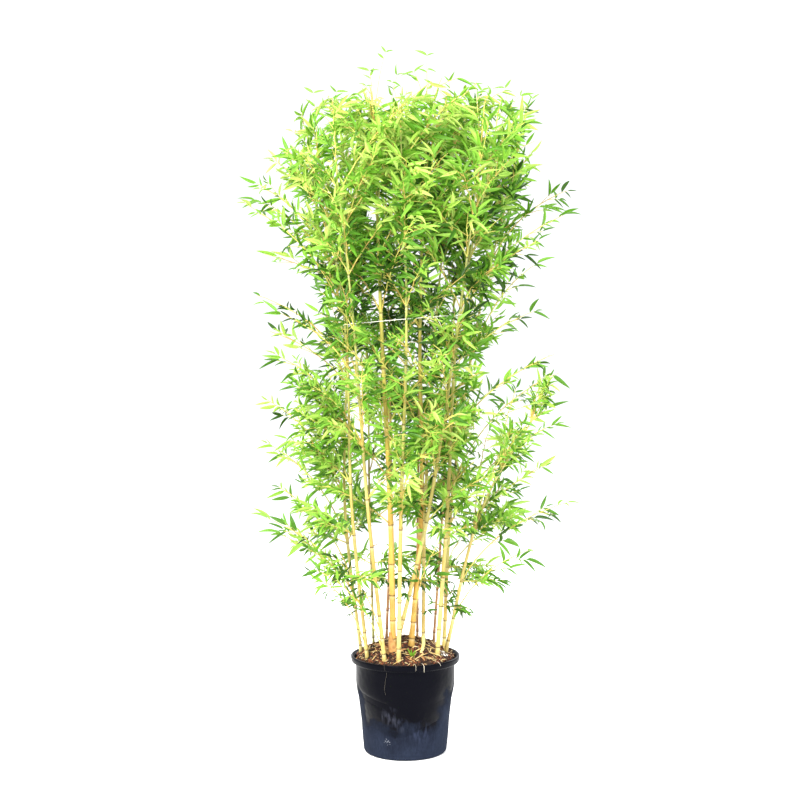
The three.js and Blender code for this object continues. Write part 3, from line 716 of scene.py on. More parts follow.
def planted(name, items, shapes, finish):
    """A piece of many small shapes. An item has a place, a turn, a size and a form."""
    mesh = bpy.data.meshes.new(name)
    mesh.from_pydata([item["place"] * MM for item in items], [], [])
    turns = [value for item in items for value in item["turn"]]
    mesh.attributes.new("turn", "QUATERNION", "POINT").data.foreach_set("value", turns)
    sizes = [value * MM for item in items for value in item["size"]]
    mesh.attributes.new("size", "FLOAT_VECTOR", "POINT").data.foreach_set("vector", sizes)
    forms = [item["form"] for item in items]
    mesh.attributes.new("form", "INT", "POINT").data.foreach_set("value", forms)
    return run_tree(new_piece(name, mesh), PLANTING, {"Shapes": shapes, "Finish": finish})


def shape_collection(name, meshes):
    """The shapes that a planted piece picks from. They are never shown."""
    collection = bpy.data.collections.new(name)
    for i, mesh in enumerate(meshes):
        collection.objects.link(bpy.data.objects.new(f"{name}_{i}", mesh))
    return collection


def drop_collection(collection):
    for shape in list(collection.objects):
        bpy.data.objects.remove(shape)
    bpy.data.collections.remove(collection)


def turn_to(along, face):
    """The turn that lays a shape's X along a direction, with its Z towards a face."""
    ahead = along.normalized()
    side = face.cross(ahead).normalized()
    up = ahead.cross(side)
    return Matrix((ahead, side, up)).transposed().to_quaternion()


# Pot

def dent_at(angle, height):
    """How deep the wall is pressed in at a place."""
    total = 0
    for dent in DENTS:
        turn = math.atan2(math.sin(angle - dent["angle"]), math.cos(angle - dent["angle"]))
        away = (turn / dent["wide"]) ** 2 + ((height - dent["height"]) / dent["tall"]) ** 2
        total += dent["depth"] * math.exp(-away)
    return total


def wall_radius(height):
    """The wall widens evenly from its foot, and is pressed out a little under the rim."""
    straight = blend(BASE_RADIUS, WALL_TOP_RADIUS, height / (POT_HEIGHT - RIM_DEPTH))
    return straight + BULGE["depth"] * math.exp(-((height - BULGE["height"]) / BULGE["tall"]) ** 2)


def pot_profile():
    """From the middle of the underside up the wall, over the rolled rim and down the inside."""
    recess = 1.5
    foot = BASE_RADIUS - 22
    corner = 9
    profile = [(0, recess), (foot - 4, recess), (foot, 0), (BASE_RADIUS - corner, 0)]
    for i in range(1, 6):
        turn = math.pi / 2 * i / 5
        radius = wall_radius(corner) - corner + corner * math.sin(turn)
        profile.append((radius, corner - corner * math.cos(turn)))
    top = POT_HEIGHT - RIM_DEPTH
    wall_rows = 44
    low = 16
    high = top - 8
    heights = [low + (high - low) * i / wall_rows for i in range(wall_rows + 1)]
    profile += [(wall_radius(height), height) for height in heights]
    for out, down in ((0.4, 4), (1.4, 2.2), (4, 2)):
        profile.append((WALL_TOP_RADIUS + out, top - down))
    # The lip flares out of a rolled lower edge, and its top is rounded over.
    for i in range(7):
        turn = -math.pi / 2 + math.pi / 2 * i / 6
        profile.append((RIM_RADIUS - 6 + 4.5 * math.cos(turn), top + 3.5 + 5 * math.sin(turn)))
    for i in range(9):
        turn = math.pi * i / 8
        profile.append((RIM_RADIUS - 3.6 + 3.6 * math.cos(turn), POT_HEIGHT - 4 + 4 * math.sin(turn)))
    profile += [(RIM_INNER_RADIUS + 1, POT_HEIGHT - 5), (RIM_INNER_RADIUS, POT_HEIGHT - 7)]
    profile.append((WALL_TOP_RADIUS - WALL_THICKNESS, top))
    profile += [(wall_radius(height) - WALL_THICKNESS, height) for height in (200, FLOOR_TOP)]
    profile.append((0, FLOOR_TOP))
    return profile


def turned_mesh(name, profile, sides, shaped):
    """A mesh turned about Z from a profile whose two ends lie on the axis."""
    places = [Vector((0, 0, profile[0][1]))]
    rows = profile[1:-1]
    for radius, height in rows:
        for k in range(sides):
            places.append(shaped(radius, 2 * math.pi * k / sides, height))
    places.append(Vector((0, 0, profile[-1][1])))
    last = len(places) - 1
    faces = []
    for k in range(sides):
        following = (k + 1) % sides
        faces.append((0, 1 + following, 1 + k))
        for i in range(len(rows) - 1):
            low = 1 + i * sides
            high = low + sides
            faces.append((low + k, low + following, high + following, high + k))
        edge = 1 + (len(rows) - 1) * sides
        faces.append((edge + k, edge + following, last))
    mesh = bpy.data.meshes.new(name)
    mesh.from_pydata([place * MM for place in places], [], faces)
    mesh.shade_smooth()
    return mesh


def make_pot():
    def shaped(radius, angle, height):
        if FLOOR_TOP < height < POT_HEIGHT - RIM_DEPTH - 6:
            ripple = 1.3 * noise.noise(Vector((math.cos(angle) * 2.1, math.sin(angle) * 2.1, height / 70)))
            along = angle - CREASE["angle"]
            crease = CREASE["depth"] * math.exp(-(along / CREASE["half_width"]) ** 4)
            crease *= math.exp(-((height - CREASE["height"] - CREASE["slope"] * along) / CREASE["tall"]) ** 2)
            radius += ripple - dent_at(angle, height) - crease
        # The rim is a little out of round.
        radius += 0.8 * math.sin(2 * angle + 0.6) * eased(height / POT_HEIGHT)
        return Vector((radius * math.cos(angle), radius * math.sin(angle), height))

    piece = new_piece("nursery_pot", turned_mesh("nursery_pot", pot_profile(), POT_SIDES, shaped))
    piece.data.materials.append(dusty_polypropylene_with_painted_sheen())
    dress(piece, ["pot"])


# Potting mix

def soil_height(radius):
    share = min(radius / RIM_INNER_RADIUS, 1)
    return blend(SOIL_CROWN_HEIGHT, SOIL_EDGE_HEIGHT, share ** 2)


def soil_surface(x, y):
    """The mound's surface at a place, with the crumbs that the finish is laid on."""
    radius = math.hypot(x, y)
    lumps = 4.5 * noise.noise(Vector((x / 34, y / 34, 3.1)))
    crumbs = 1.8 * noise.noise(Vector((x / 9, y / 9, 7.7)))
    banked = 3 * eased((radius - 118) / 34)
    return soil_height(radius) + lumps + crumbs + banked


def rough_chip(seed, length, width, thickness):
    """A broken flake of bark: a rough octahedron with its ends knocked off."""
    random = seeded(seed)
    ring = 6
    places = []
    for level, share in ((-1, 0.72), (1, 0.6)):
        for k in range(ring):
            turn = 2 * math.pi * (k + 0.35 * random()) / ring
            reach = share * (0.75 + 0.4 * random())
            places.append(Vector((math.cos(turn) * reach * length, math.sin(turn) * reach * width,
                                  level * thickness * (0.35 + 0.3 * random()))))
    faces = [tuple(range(ring))[::-1], tuple(range(ring, 2 * ring))]
    faces += [(k, (k + 1) % ring, ring + (k + 1) % ring, ring + k) for k in range(ring)]
    mesh = bpy.data.meshes.new(f"chip_{seed}")
    mesh.from_pydata(places, [], faces)
    return mesh


def surface_up(x, y):
    """The upward direction of the mound at a place."""
    step = 6
    across = soil_surface(x + step, y) - soil_surface(x - step, y)
    back = soil_surface(x, y + step) - soil_surface(x, y - step)
    return Vector((-across, -back, 2 * step)).normalized()


def scattered(count, seed, reach, crowding=0.5, lift=0.0, tilt=0.5):
    """Places on the mound, drawn from a seed, clear of the canes, with a turn for each. The lower
    the crowding, the more of them lie near the edge."""
    random = seeded(seed)
    spots = []
    for _ in range(count):
        radius = reach * random() ** crowding
        place = compass(2 * math.pi * random()) * radius
        up = surface_up(place.x, place.y)
        heading = compass(2 * math.pi * random())
        heading = (heading - up * heading.dot(up)).normalized()
        tip = (up + Vector((random() - 0.5, random() - 0.5, 0)) * tilt).normalized()
        draw = random()
        if any(math.dist(place[:2], cane["foot"]) < cane["radius"] * 1.2 for cane in CANES):
            continue
        place.z = soil_surface(place.x, place.y) + lift
        # The draw's later digits pick the form, so that size and form don't go together.
        form = int(draw * 97) % SHAPES_OF_A_KIND
        spots.append({"place": place, "turn": turn_to(heading, tip), "form": form, "draw": draw})
    return spots


def make_mound():
    count = 36
    rows = [0.5] + [RIM_INNER_RADIUS * (i / count) ** 0.9 for i in range(1, count + 1)]
    # The edge turns down inside the pot.
    rim = WALL_TOP_RADIUS - WALL_THICKNESS - 1.6
    profile = [(0, FLOOR_TOP + 0.5), (wall_radius(FLOOR_TOP) - 6, FLOOR_TOP + 0.6)]
    profile.append((rim, POT_HEIGHT - RIM_DEPTH - 8))
    profile += [(radius, None) for radius in reversed(rows) if radius < rim]
    profile.append((0, soil_surface(0, 0)))

    def shaped(radius, angle, height):
        x = radius * math.cos(angle)
        y = radius * math.sin(angle)
        return Vector((x, y, soil_surface(x, y) if height is None else height))

    mound = new_piece("bark_mound", turned_mesh("bark_mound", profile, MOUND_SIDES, shaped))
    mound.data.materials.append(crumbled_matter("composted_bark", "#1C0F0A", "#44291A", 160))
    dress(mound, ["potting_mix"])


def make_chips():
    """Loose chips of bark and specks of grit all over the mound."""
    chips = shape_collection("chips", [rough_chip(20 + k, 1, 0.55, 0.5) for k in range(SHAPES_OF_A_KIND)])
    for name, count, seed, dark, light, length in CHIPS:
        spots = scattered(count, seed, WALL_TOP_RADIUS - 4, tilt=1.4)
        for spot in spots:
            grown = length * (0.5 + 0.9 * spot["draw"] ** 2)
            spot["size"] = (grown, grown, grown)
        piece = planted(name, spots, chips, crumbled_matter(name, dark, light, 300))
        dress(piece)
    drop_collection(chips)


def make_straw():
    """Fallen leaves, straw and sheaths that lie on the mix, nearly flat."""
    blades = leaf_shapes("straws", fold=0.1)
    for name, count, seed, dark, light, length, width, inset, crowding, lift in STRAWS:
        spots = scattered(count, seed, WALL_TOP_RADIUS - inset, crowding, lift, 0.3)
        for spot in spots:
            grown = length * (0.55 + 0.8 * spot["draw"])
            spot["size"] = (grown, grown * width / 0.5, grown * 0.35)
        piece = planted(name, spots, blades, crumbled_matter(name, dark, light, 120, 0.7))
        dress(piece)
    drop_collection(blades)


# Canes

def ground_under(cane):
    """The height of the smooth mound at a cane's foot."""
    return soil_height(math.hypot(*cane["foot"]))


def cane_centre(cane, height):
    """The middle line of a cane: a smooth curve through its foot, waist, tie and tip."""
    rows = [(*cane["foot"], ground_under(cane)), (*cane["waist"], WAIST_HEIGHT)]
    if cane["tied"]:
        rows.append((*cane["tied"], TIE_HEIGHT))
    rows.append((*cane["tip"], cane["height"]))
    last = len(rows) - 1
    i = clamp(sum(row[2] < height for row in rows), 1, last) - 1

    def slope(k, axis):
        low = rows[max(k - 1, 0)]
        high = rows[min(k + 1, last)]
        return (high[axis] - low[axis]) / (high[2] - low[2])

    span = rows[i + 1][2] - rows[i][2]
    t = max((height - rows[i][2]) / span, 0)
    place = []
    for axis in (0, 1):
        rise = rows[i + 1][axis] - rows[i][axis]
        start = slope(i, axis) * span
        end = slope(i + 1, axis) * span
        curve = t * (3 * rise - 2 * start - end + t * (start + end - 2 * rise))
        place.append(rows[i][axis] + t * (start + curve))
    return Vector((*place, height))


def cane_radius(cane, height):
    """A cane thins towards its tip, slowly at first."""
    ground = ground_under(cane)
    share = clamp((height - ground) / (cane["height"] - ground), 0, 1)
    return cane["radius"] * (1 - CANE_TAPER * share ** 1.25)


def node_heights(cane):
    """The heights of a cane's nodes: close at the foot and the tip, and wide apart between."""
    ground = ground_under(cane)
    random = seeded(math.floor(1000 + cane["foot"][0] * 7 + cane["foot"][1] + 0.5))
    heights = []
    height = ground + 16 + 20 * random()
    while height < cane["height"] - 40:
        heights.append(height)
        share = (height - ground) / (cane["height"] - ground)
        length = blend(SHORT_INTERNODE, LONG_INTERNODE, math.sin(math.pi * share) ** 0.85)
        height += length * (0.92 + 0.16 * random())
    return heights


def culm_path(cane):
    """The stations of a culm, close together at its nodes."""
    ground = ground_under(cane)
    heights = node_heights(cane)
    stations = [(ground - FOOT_DEPTH, 1.3, 0.3, 0.0), (ground + 2, 1.16, 0.2, 0.0)]
    for i, node in enumerate(heights):
        # The lowest nodes are narrower.
        close = 0.8 if node < ground + 120 else 1.0
        for away, swell, ring, bloom in NODE_PROFILE:
            stations.append((node + away * close, swell, ring, bloom))
        following = heights[i + 1] if i + 1 < len(heights) else cane["height"]
        for k in range(1, 4):
            stations.append((blend(node + 14, following - 15, k / 4), 0.985, 0.0, 0.0))
    stations.append((cane["height"], 1.0, 0.0, 0.0))
    stations.sort(key=lambda station: station[0])
    path = []
    for height, swell, ring, bloom in stations:
        if path and height - path[-1][0].z < 0.5:
            continue
        marks = {"ring": ring, "bloom": bloom}
        path.append((cane_centre(cane, height), cane_radius(cane, height) * swell, marks))
    return path


def stubs(cane, seed):
    """Short dead side shoots at a cane's lower nodes."""
    random = seeded(seed)
    found = []
    for k, height in enumerate(node_heights(cane)):
        if height > STUBS_BELOW or random() < 0.25:
            continue
        centre = cane_centre(cane, height + 3)
        away = compass(seed * 1.7 + math.pi * k + 0.9 * random())
        length = 6 + 12 * random() ** 2
        radius = cane_radius(cane, height)
        root = centre + away * radius * 0.6
        tip = centre + away * (radius + length) + Vector((0, 0, length * (0.5 + 0.6 * random())))
        rows = ((0, 1.5, 0.3), (0.5, 1.1, 0.55), (1, 0.7, 0.95))
        found.append([(root.lerp(tip, share), thick, {"ring": dark, "bloom": 0})
                      for share, thick, dark in rows])
    return found


def make_canes():
    finishes = {
        "golden": waxy_culm_skin("golden_culm", "#C8A24A", "#B27E30", "#9E7430", "#B2AE52"),
        "pale": waxy_culm_skin("pale_culm", "#C3B46A", "#B4964C", "#9A9048", "#AAAE5C"),
        "olive": waxy_culm_skin("olive_culm", "#A6A45E", "#957C4E", "#747E42", "#868E48"),
        "umber": waxy_culm_skin("umber_culm", "#A87A50", "#8C5C3C", "#BC9A5A", "#9A8A44"),
    }
    for i, cane in enumerate(CANES):
        radius = cane["radius"]
        tint = "golden" if radius > GOLDEN_RADIUS else "pale" if radius > PALE_RADIUS else "olive"
        number = f"{i + 1:02d}"
        paths = [culm_path(cane)] + stubs(cane, 300 + i)
        finish = finishes["umber" if i in UMBER_CANES else tint]
        dress(tubes(f"culm_{number}", paths, CULM_SIDES, finish), [f"cane_{number}"])


# Branches and leaves

def run_to(start, direction, radius):
    """How far a point inside a circle can go along a direction before it meets it."""
    along = start.x * direction.x + start.y * direction.y
    inside = radius ** 2 - (start.x ** 2 + start.y ** 2)
    return math.sqrt(max(along ** 2 + inside, 0)) - along


def branch_point(plan, share):
    """A branch leaves its cane steeply and arches out to its tip."""
    out = compass(plan["angle"]) * plan["run"]
    start = plan["start"]
    middle = start + out * (1 - plan["arch"]) + Vector((0, 0, plan["rise"] * plan["arch"]))
    end = start + out + Vector((0, 0, plan["rise"]))
    return start.lerp(middle, share).lerp(middle.lerp(end, share), share)


# The middles of the front canes at even heights.
CANE_LINES = [[cane_centre(CANES[i], LINE_STEP * (k + 0.5)) for i in FRONT_CANES]
              for k in range(int(BARE_TO / LINE_STEP) + 1)]


def zone_at(height):
    """The part of the crown that a side branch at a height belongs to."""
    return "upper" if height > TIE_HEIGHT else "middle" if height > MIDDLE_FROM else "skirt"


def nearest_node(cane, height):
    return min(node_heights(cane), key=lambda node: abs(node - height))


def tip_branch(cane, i):
    """The branch that carries on from a cane's tip, as in the solids."""
    start = cane_centre(cane, cane["height"])
    room = between(OUTLINE, start.z + 150) - math.hypot(start.x, start.y) - SOLID_LEAF_LENGTH * 0.5
    run = clamp(room, 20, 170)
    top = CROWN_TOP if math.hypot(start.x, start.y) < PEAK_REACH else LEVEL_TOP
    highest = max(top - SOLID_LEAF_LENGTH * 0.6 - start.z, LEAST_RISE)
    rise = min(320 - run * 0.6, highest) if cane["tied"] else run
    return {"zone": "head", "cane": cane, "start": start, "angle": math.atan2(start.y, start.x),
            "run": run, "rise": rise, "arch": 0.54, "seed": 100 + i}


def side_branch(k, uses):
    """A side branch of the spiral round the plant, on the cane that suits it best, as in the solids."""
    random = seeded(500 + k)
    wanted = blend(LOWEST_BRANCH, HIGHEST_BRANCH, (k + 0.5) / SIDE_BRANCHES)
    angle = k * GOLDEN_ANGLE

    def fit(i):
        too_short = 1000 if CANES[i]["height"] < wanted + 90 else 0
        return cane_centre(CANES[i], wanted).dot(compass(angle)) - too_short - 70 * uses.get(i, 0)

    chosen = max(range(len(CANES)), key=fit)
    uses[chosen] = uses.get(chosen, 0) + 1
    cane = CANES[chosen]
    start = cane_centre(cane, nearest_node(cane, wanted))
    room = run_to(start, compass(angle), between(OUTLINE, start.z + 130)) - SOLID_LEAF_LENGTH * 0.5
    run = clamp(room * (1 if k % 3 else 0.7), 60, 260)
    rise = max(run * (0.75 + 0.5 * random()), 120)
    return {"zone": zone_at(wanted), "cane": cane, "start": start, "angle": angle, "run": run, "rise": rise,
            "arch": 0.68, "seed": k}


def stray_branch(stray, k):
    """An outlying branch, which leaves its cane well below the height of its tip."""
    cane = CANES[stray["cane"]]
    angle = math.radians(stray["angle"])
    start = cane_centre(cane, nearest_node(cane, stray["height"] - STRAY_RISE))
    run = run_to(start, compass(angle), stray["reach"] - LEAF_LENGTH * 1.5)
    return {"zone": "stray", "cane": cane, "start": start, "angle": angle, "run": run,
            "rise": stray["height"] - start.z, "arch": 0.68, "seed": 200 + k}


def node_branches(cane, i):
    """The two branches of each of a cane's upper nodes, which the solids leave out."""
    random = seeded(900 + i)
    plans = []
    outward = math.atan2(cane["tip"][1], cane["tip"][0])
    for k, height in enumerate(node_heights(cane)):
        for side in (-1, 1):
            lean = side * (0.35 + 1.1 * random()) + (0.5 if k % 2 else -0.5)
            longer = 0.62 + 0.38 * random()
            steep = 0.8 + 0.7 * random()
            bare = LEAFLESS_BELOW + (MIDDLE_BARE_FOR if abs(cane["foot"][0]) < MIDDLE_HALF_WIDTH else 0)
            if height < bare + 160 * random():
                continue
            start = cane_centre(cane, height)
            inward = INWARD_SHARE_HIGH if height > LEANING_APART_ABOVE else INWARD_SHARE
            angle = outward + lean + (math.pi if random() < inward else 0)
            room = run_to(start, compass(angle), between(OUTLINE, height + 120)) - LEAF_LENGTH
            run = clamp(room * longer, 40, 250)
            # The lowest branches spread and hang, and the others climb.
            climb = eased((height - 420) / 500)
            rise = blend(-0.1 * run, clamp(run * steep, 90, 270), climb)
            rise = min(rise, CROWN_TOP - 40 - height)
            zone = "head" if height > HEAD_FROM else zone_at(height)
            plans.append({"zone": zone, "cane": cane, "start": start, "angle": angle, "run": run,
                          "rise": rise, "arch": 0.62, "seed": 2000 + 100 * i + 2 * k + (side > 0)})
    return plans


def plan_branches():
    """All branches: the outlying ones, those that carry on the canes, those of the spiral and the rest
    at the nodes."""
    uses = {stray["cane"]: 1 for stray in STRAYS}
    plans = [stray_branch(stray, k) for k, stray in enumerate(STRAYS + FINE_STRAYS)]
    plans += [tip_branch(cane, i) for i, cane in enumerate(CANES)]
    plans += [side_branch(k, uses) for k in range(SIDE_BRANCHES)]
    for i, cane in enumerate(CANES):
        plans += node_branches(cane, i)
    return plans


def turned_from(direction, angle, turn):
    """A direction turned away from another by an angle, on the side that a turn picks."""
    level = Vector((-direction.y, direction.x, 0))
    if level.length_squared < 1e-4:
        level = Vector((1, 0, 0))
    level.normalize()
    raised = direction.cross(level)
    away = level * math.cos(turn) + raised * math.sin(turn)
    return direction * math.cos(angle) + away * math.sin(angle)


def fan_face(end, heading, random):
    """The face of a fan of leaves looks up and away from the middle of the plant."""
    face = compass(math.atan2(end.y, end.x) + 1.2 * (random() - 0.5)) * 0.9
    face.z = 0.35 + 0.6 * random()
    return (face - heading * face.dot(heading)).normalized()


def tone_at(place, zone, draw):
    """The number of the tone that the leaves of a twig take, from the place of its end and a draw."""
    # The brightness by height is partly painted shade, darker at the waist.
    light = between(BRIGHTNESS, place.z)
    light -= RIGHT_DARKENING * eased((place.x - 110) / 240) * eased((place.z - 1450) / 300)
    # The crown's inside takes darker tones as painted shade.
    light -= INSIDE_PAINTED_SHADE * eased((240 - math.hypot(place.x, place.y)) / 200)
    # Seen against the sky, the outlying leaves would look paler than they are.
    if zone == "stray":
        light -= STRAY_DARKENING
    light += TONE_SPREAD * (draw - 0.5)
    return int(clamp(light * len(TONES), 0, len(TONES) - 1))


def leaf_mesh(form, fold):
    """A lance-shaped blade, folded along its midrib, of unit length and unit width."""
    rows = 7
    # The four forms droop and twist by different amounts.
    droop = (0.0, 0.05, 0.1, 0.2)[form]
    twist = (0.2, -0.3, 0.25, -0.15)[form]
    places = [Vector((0, 0, 0))]
    plan = [(0, 0.5)]
    for i in range(1, rows):
        u = i / rows
        # The blade is widest a third of the way along, and runs out to a long point.
        half = 1.27 * u ** 0.5 * (1 - u) ** 0.95
        for side in (-1, 0, 1):
            lift = fold * half * abs(side)
            turn = twist * u
            across = side * half * math.cos(turn) - lift * math.sin(turn) * 0.3
            height = side * half * math.sin(turn) * 0.25 + lift - droop * u ** 2
            places.append(Vector((u * (1 - 0.35 * droop * u), across, height)))
            plan.append((u, 0.5 + 0.5 * side))
    places.append(Vector((1 - 0.35 * droop, 0, -droop)))
    plan.append((1, 0.5))
    last = len(places) - 1
    faces = [(0, 2, 1), (0, 3, 2)]
    for i in range(rows - 2):
        low = 1 + 3 * i
        faces += [(low, low + 1, low + 4, low + 3), (low + 1, low + 2, low + 5, low + 4)]
    faces += [(last - 3, last - 2, last), (last - 2, last - 1, last)]
    mesh = bpy.data.meshes.new(f"leaf_{form}")
    mesh.from_pydata(places, [], faces)
    layer = mesh.uv_layers.new(name="leaf")
    for loop in mesh.loops:
        layer.data[loop.index].uv = plan[loop.vertex_index]
    mesh.shade_smooth()
    return mesh


def leaf_shapes(name, fold=0.22):
    """Leaf blades of four forms, for a planted piece to pick from."""
    return shape_collection(name, [leaf_mesh(form, fold) for form in range(SHAPES_OF_A_KIND)])


def leaf_at(root, along, face, length, width, form):
    """A leaf for a planted piece: from its root along a direction, with its face turned one way."""
    return {"place": root, "turn": turn_to(along, face), "size": (length, width, length), "form": form}


def veils_a_cane(place):
    """Whether a leaf would hang close before one of the front canes, which stand bare."""
    if not BARE_FROM < place.z < BARE_TO:
        return False
    row = CANE_LINES[int(place.z / LINE_STEP)]
    return any(abs(place.x - centre.x) < BARE_REACH and place.y < centre.y for centre in row)


def in_crown(place, slack):
    """Whether a place lies inside the crown, whose edge and level top are ragged."""
    away = math.hypot(place.x - between(LEAN, place.z), place.y)
    ragged = sum(share * noise.noise(place / size) for share, size in EDGE_WAVES)
    edge = between(OUTLINE, place.z) * (1 + ragged)
    level = LEVEL_TOP - TOP_FALL * abs(place.y) + TOP_RAGGEDNESS * ragged
    side = between(RIGHT_REACH, place.z) * (1 + RIGHT_RAGGEDNESS * ragged) + RIGHT_SPREAD * abs(place.y)
    if slack == TIED_SLACK and place.x > side:
        return False
    return place.z < level and away < edge + slack


def grow_twig(base, along, length, plan, random, leaves, slack):
    """A twig that sags a little, with leaves by turns on its two sides and one ahead."""
    sag = Vector((0, 0, -0.1 * length * random()))
    middle = base + along * length * 0.5
    end = base + along * length + sag
    heading = (end - middle).normalized()
    face = fan_face(end, heading, random)
    side = heading.cross(face)
    tone = tone_at(end, plan["zone"], random())
    count = (2 if plan["zone"] == "stray" else 3) + int(3 * random())
    for n in range(count):
        root = end - heading * (LEAF_STEP * n)
        size = LEAF_LENGTH * (0.55 + 0.95 * random() ** 1.5) * between(LEAF_SCALE, end.z)
        spread = (0.5 + 0.42 * random() if n else 0.3 * (random() - 0.5)) * (1 if n % 2 else -1)
        ahead = heading * math.cos(spread) + side * math.sin(spread)
        ahead += face * 0.6 * (random() - 0.5)
        ahead.z += 0.7 * random() - 0.5
        ahead.normalize()
        tilt = (face + side * 1.3 * (random() - 0.5)).normalized()
        form = int(random() * SHAPES_OF_A_KIND)
        width = size * LEAF_WIDTH_SHARE * (0.85 + 0.3 * random())
        if in_crown(root + ahead * size, slack) and not veils_a_cane(root + ahead * size * 0.5):
            leaves[tone].append(leaf_at(root, ahead, tilt, size, width, form))
    return [(base, 1.15, {}), (middle, 0.95, {}), (end, 0.65, {})]


def grow_branch(plan, leaves, twigs):
    """A branch that bends a little at its nodes, with a leafy twig at each of them by turns."""
    random = seeded(7000 + plan["seed"])
    length = math.hypot(plan["run"], plan["rise"])
    steps = max(int(length / TWIG_SPACING), 3)
    stray = plan["zone"] == "stray"
    slack = STRAY_SLACK if stray else TIED_SLACK if plan["cane"]["tied"] else FREE_SLACK
    stem = []
    for k in range(steps + 1):
        share = k / steps
        place = branch_point(plan, share)
        bend = 1.6 * (1 if k % 2 else -1) if 0 < k < steps else 0
        place += compass(plan["angle"] + math.pi / 2) * bend
        if k > 2 and not in_crown(place, slack):
            break
        stem.append((place, blend(2.3, 1.15, share), {}))
    twigs.append(stem)
    steps = len(stem) - 1
    # The branch is bare near its cane, and an outlying one for longer.
    first = 0.4 if stray else 0.22
    for k in range(1, steps + 1):
        if k / steps < first:
            continue
        base = stem[k][0]
        heading = (stem[k][0] - stem[k - 1][0]).normalized()
        for branch in range(WHORL[plan["zone"]]):
            if k == steps and not branch:
                along = heading
            else:
                along = turned_from(heading, 0.55 + 0.55 * random(), math.pi * (k + branch) + random() - 0.5)
            reach = TWIG_LENGTH * (0.5 + 0.7 * random()) * (0.65 if branch else 1)
            if random() > (1 if stray else between(FULLNESS, base.z)):
                continue
            if not in_crown(base + along * reach, slack):
                continue
            twigs.append(grow_twig(base, along, reach, plan, random, leaves, slack))


def make_foliage():
    """Each group of the solids' foliage is grown again as twigs and leaves of life size."""
    shapes = leaf_shapes("leaves")
    finishes = [bamboo_leaf(f"{name}_leaf", colour, lit) for name, colour, lit in TONES]
    bark = green_twig("straw_green_twig", "#D3D066", "#C2A552")
    nodes = sorted(frame["nodes"])
    plans = plan_branches()
    for zone in ZONES:
        leaves = [[] for _ in TONES]
        twigs = []
        for plan in plans:
            if plan["zone"] == zone:
                grow_branch(plan, leaves, twigs)
        stood_for = [node for node in nodes if node.startswith(f"foliage_{zone}")]
        dress(tubes(f"{zone}_twigs", twigs, TWIG_SIDES, bark), stood_for)
        for (name, _, _), items, finish in zip(TONES, leaves, finishes):
            if items:
                dress(planted(f"{zone}_{name}_leaves", items, shapes, finish), stood_for)
    drop_collection(shapes)


def make_crown_sprays():
    """Thin arching sprays over the crown's top, each with a few small leaves near its tip."""
    random = seeded(83)
    leaves = []
    stalks = []
    steps = 8
    for i, tip in CROWN_SPRAYS:
        start = cane_centre(CANES[i], CANES[i]["height"])
        tip = Vector(tip)
        middle = start.lerp(tip, 0.35)
        middle.z = blend(start.z, tip.z, 0.7)
        stalk = []
        for k in range(steps + 1):
            share = k / steps
            stalk.append(start.lerp(middle, share).lerp(middle.lerp(tip, share), share))
        stalks.append([(place, blend(1.5, 0.5, k / steps), {}) for k, place in enumerate(stalk)])
        heading = (stalk[-1] - stalk[-2]).normalized()
        # Two leaves stand at the tip, and up to three lower down.
        for n in range(5):
            root = stalk[-1] if n < 2 else stalk[-2].lerp(stalk[-4], random())
            side = 1 if n % 2 else -1
            if n > 1 and random() < 0.4:
                continue
            along = heading * 1.3 * random()
            along += Vector((side * (0.4 + random()), 0.6 * (random() - 0.5), 0.3 - 0.8 * random()))
            face = Vector((0.5 * side, -1, 0.4 + 0.8 * random()))
            length = 22 + 22 * random()
            form = int(random() * SHAPES_OF_A_KIND)
            leaves.append(leaf_at(root, along, face, length, length * SMALL_LEAF_SHARE, form))
    bark = green_twig("spray_twig", "#B9BE5C", "#C2A552")
    dress(tubes("spray_twigs", stalks, TWIG_SIDES, bark))
    shapes = leaf_shapes("spray_leaves")
    leaf = bamboo_leaf("spray_leaf", "#6C9A34", "#98C244")
    dress(planted("spray_leaves", leaves, shapes, leaf))
    drop_collection(shapes)


def make_sprouts():
    """Tufts of small dark leaves at the lowest nodes, and a green shoot in the mix."""
    random = seeded(77)
    leaves = []
    stalks = []
    for i, height, angle in SPROUTS:
        cane = CANES[i]
        start = cane_centre(cane, nearest_node(cane, height))
        out = compass(math.radians(angle))
        end = start + out * (22 + 14 * random()) + Vector((0, 0, 14 + 10 * random()))
        stalks.append([(start, 1.1, {}), (start.lerp(end, 0.6), 0.9, {}), (end, 0.5, {})])
        for n in range(SHAPES_OF_A_KIND):
            along = out + compass(2 * math.pi * random()) * 0.9 + Vector((0, 0, 0.5 - 1.2 * random()))
            root = start.lerp(end, 1 - 0.14 * n)
            length = 24 + 16 * random()
            face = Vector((0.2, -1, 0.7))
            leaves.append(leaf_at(root, along, face, length, length * SMALL_LEAF_SHARE, n))
    bark = green_twig("sprout_twig", "#8F9440", "#B59C50")
    dress(tubes("sprout_twigs", stalks, TWIG_SIDES, bark))
    shapes = leaf_shapes("sprout_leaves")
    leaf = bamboo_leaf("sprout_leaf", "#3A6A1E", "#629A24")
    dress(planted("sprout_leaves", leaves, shapes, leaf))

    foot = Vector((*SHOOT_PLACE, soil_surface(*SHOOT_PLACE) - 2))
    blades = []
    for n in range(7):
        along = compass(0.9 * n) * 0.6 + Vector((0, 0, 1))
        length = 22 + 12 * random()
        face = Vector((0, -1, 0.4))
        blades.append(leaf_at(foot, along, face, length, length * SHOOT_LEAF_SHARE, n % SHAPES_OF_A_KIND))
    leaf = bamboo_leaf("young_leaf", "#6E9E2C", "#9CCB38")
    dress(planted("young_shoot", blades, shapes, leaf))
    drop_collection(shapes)


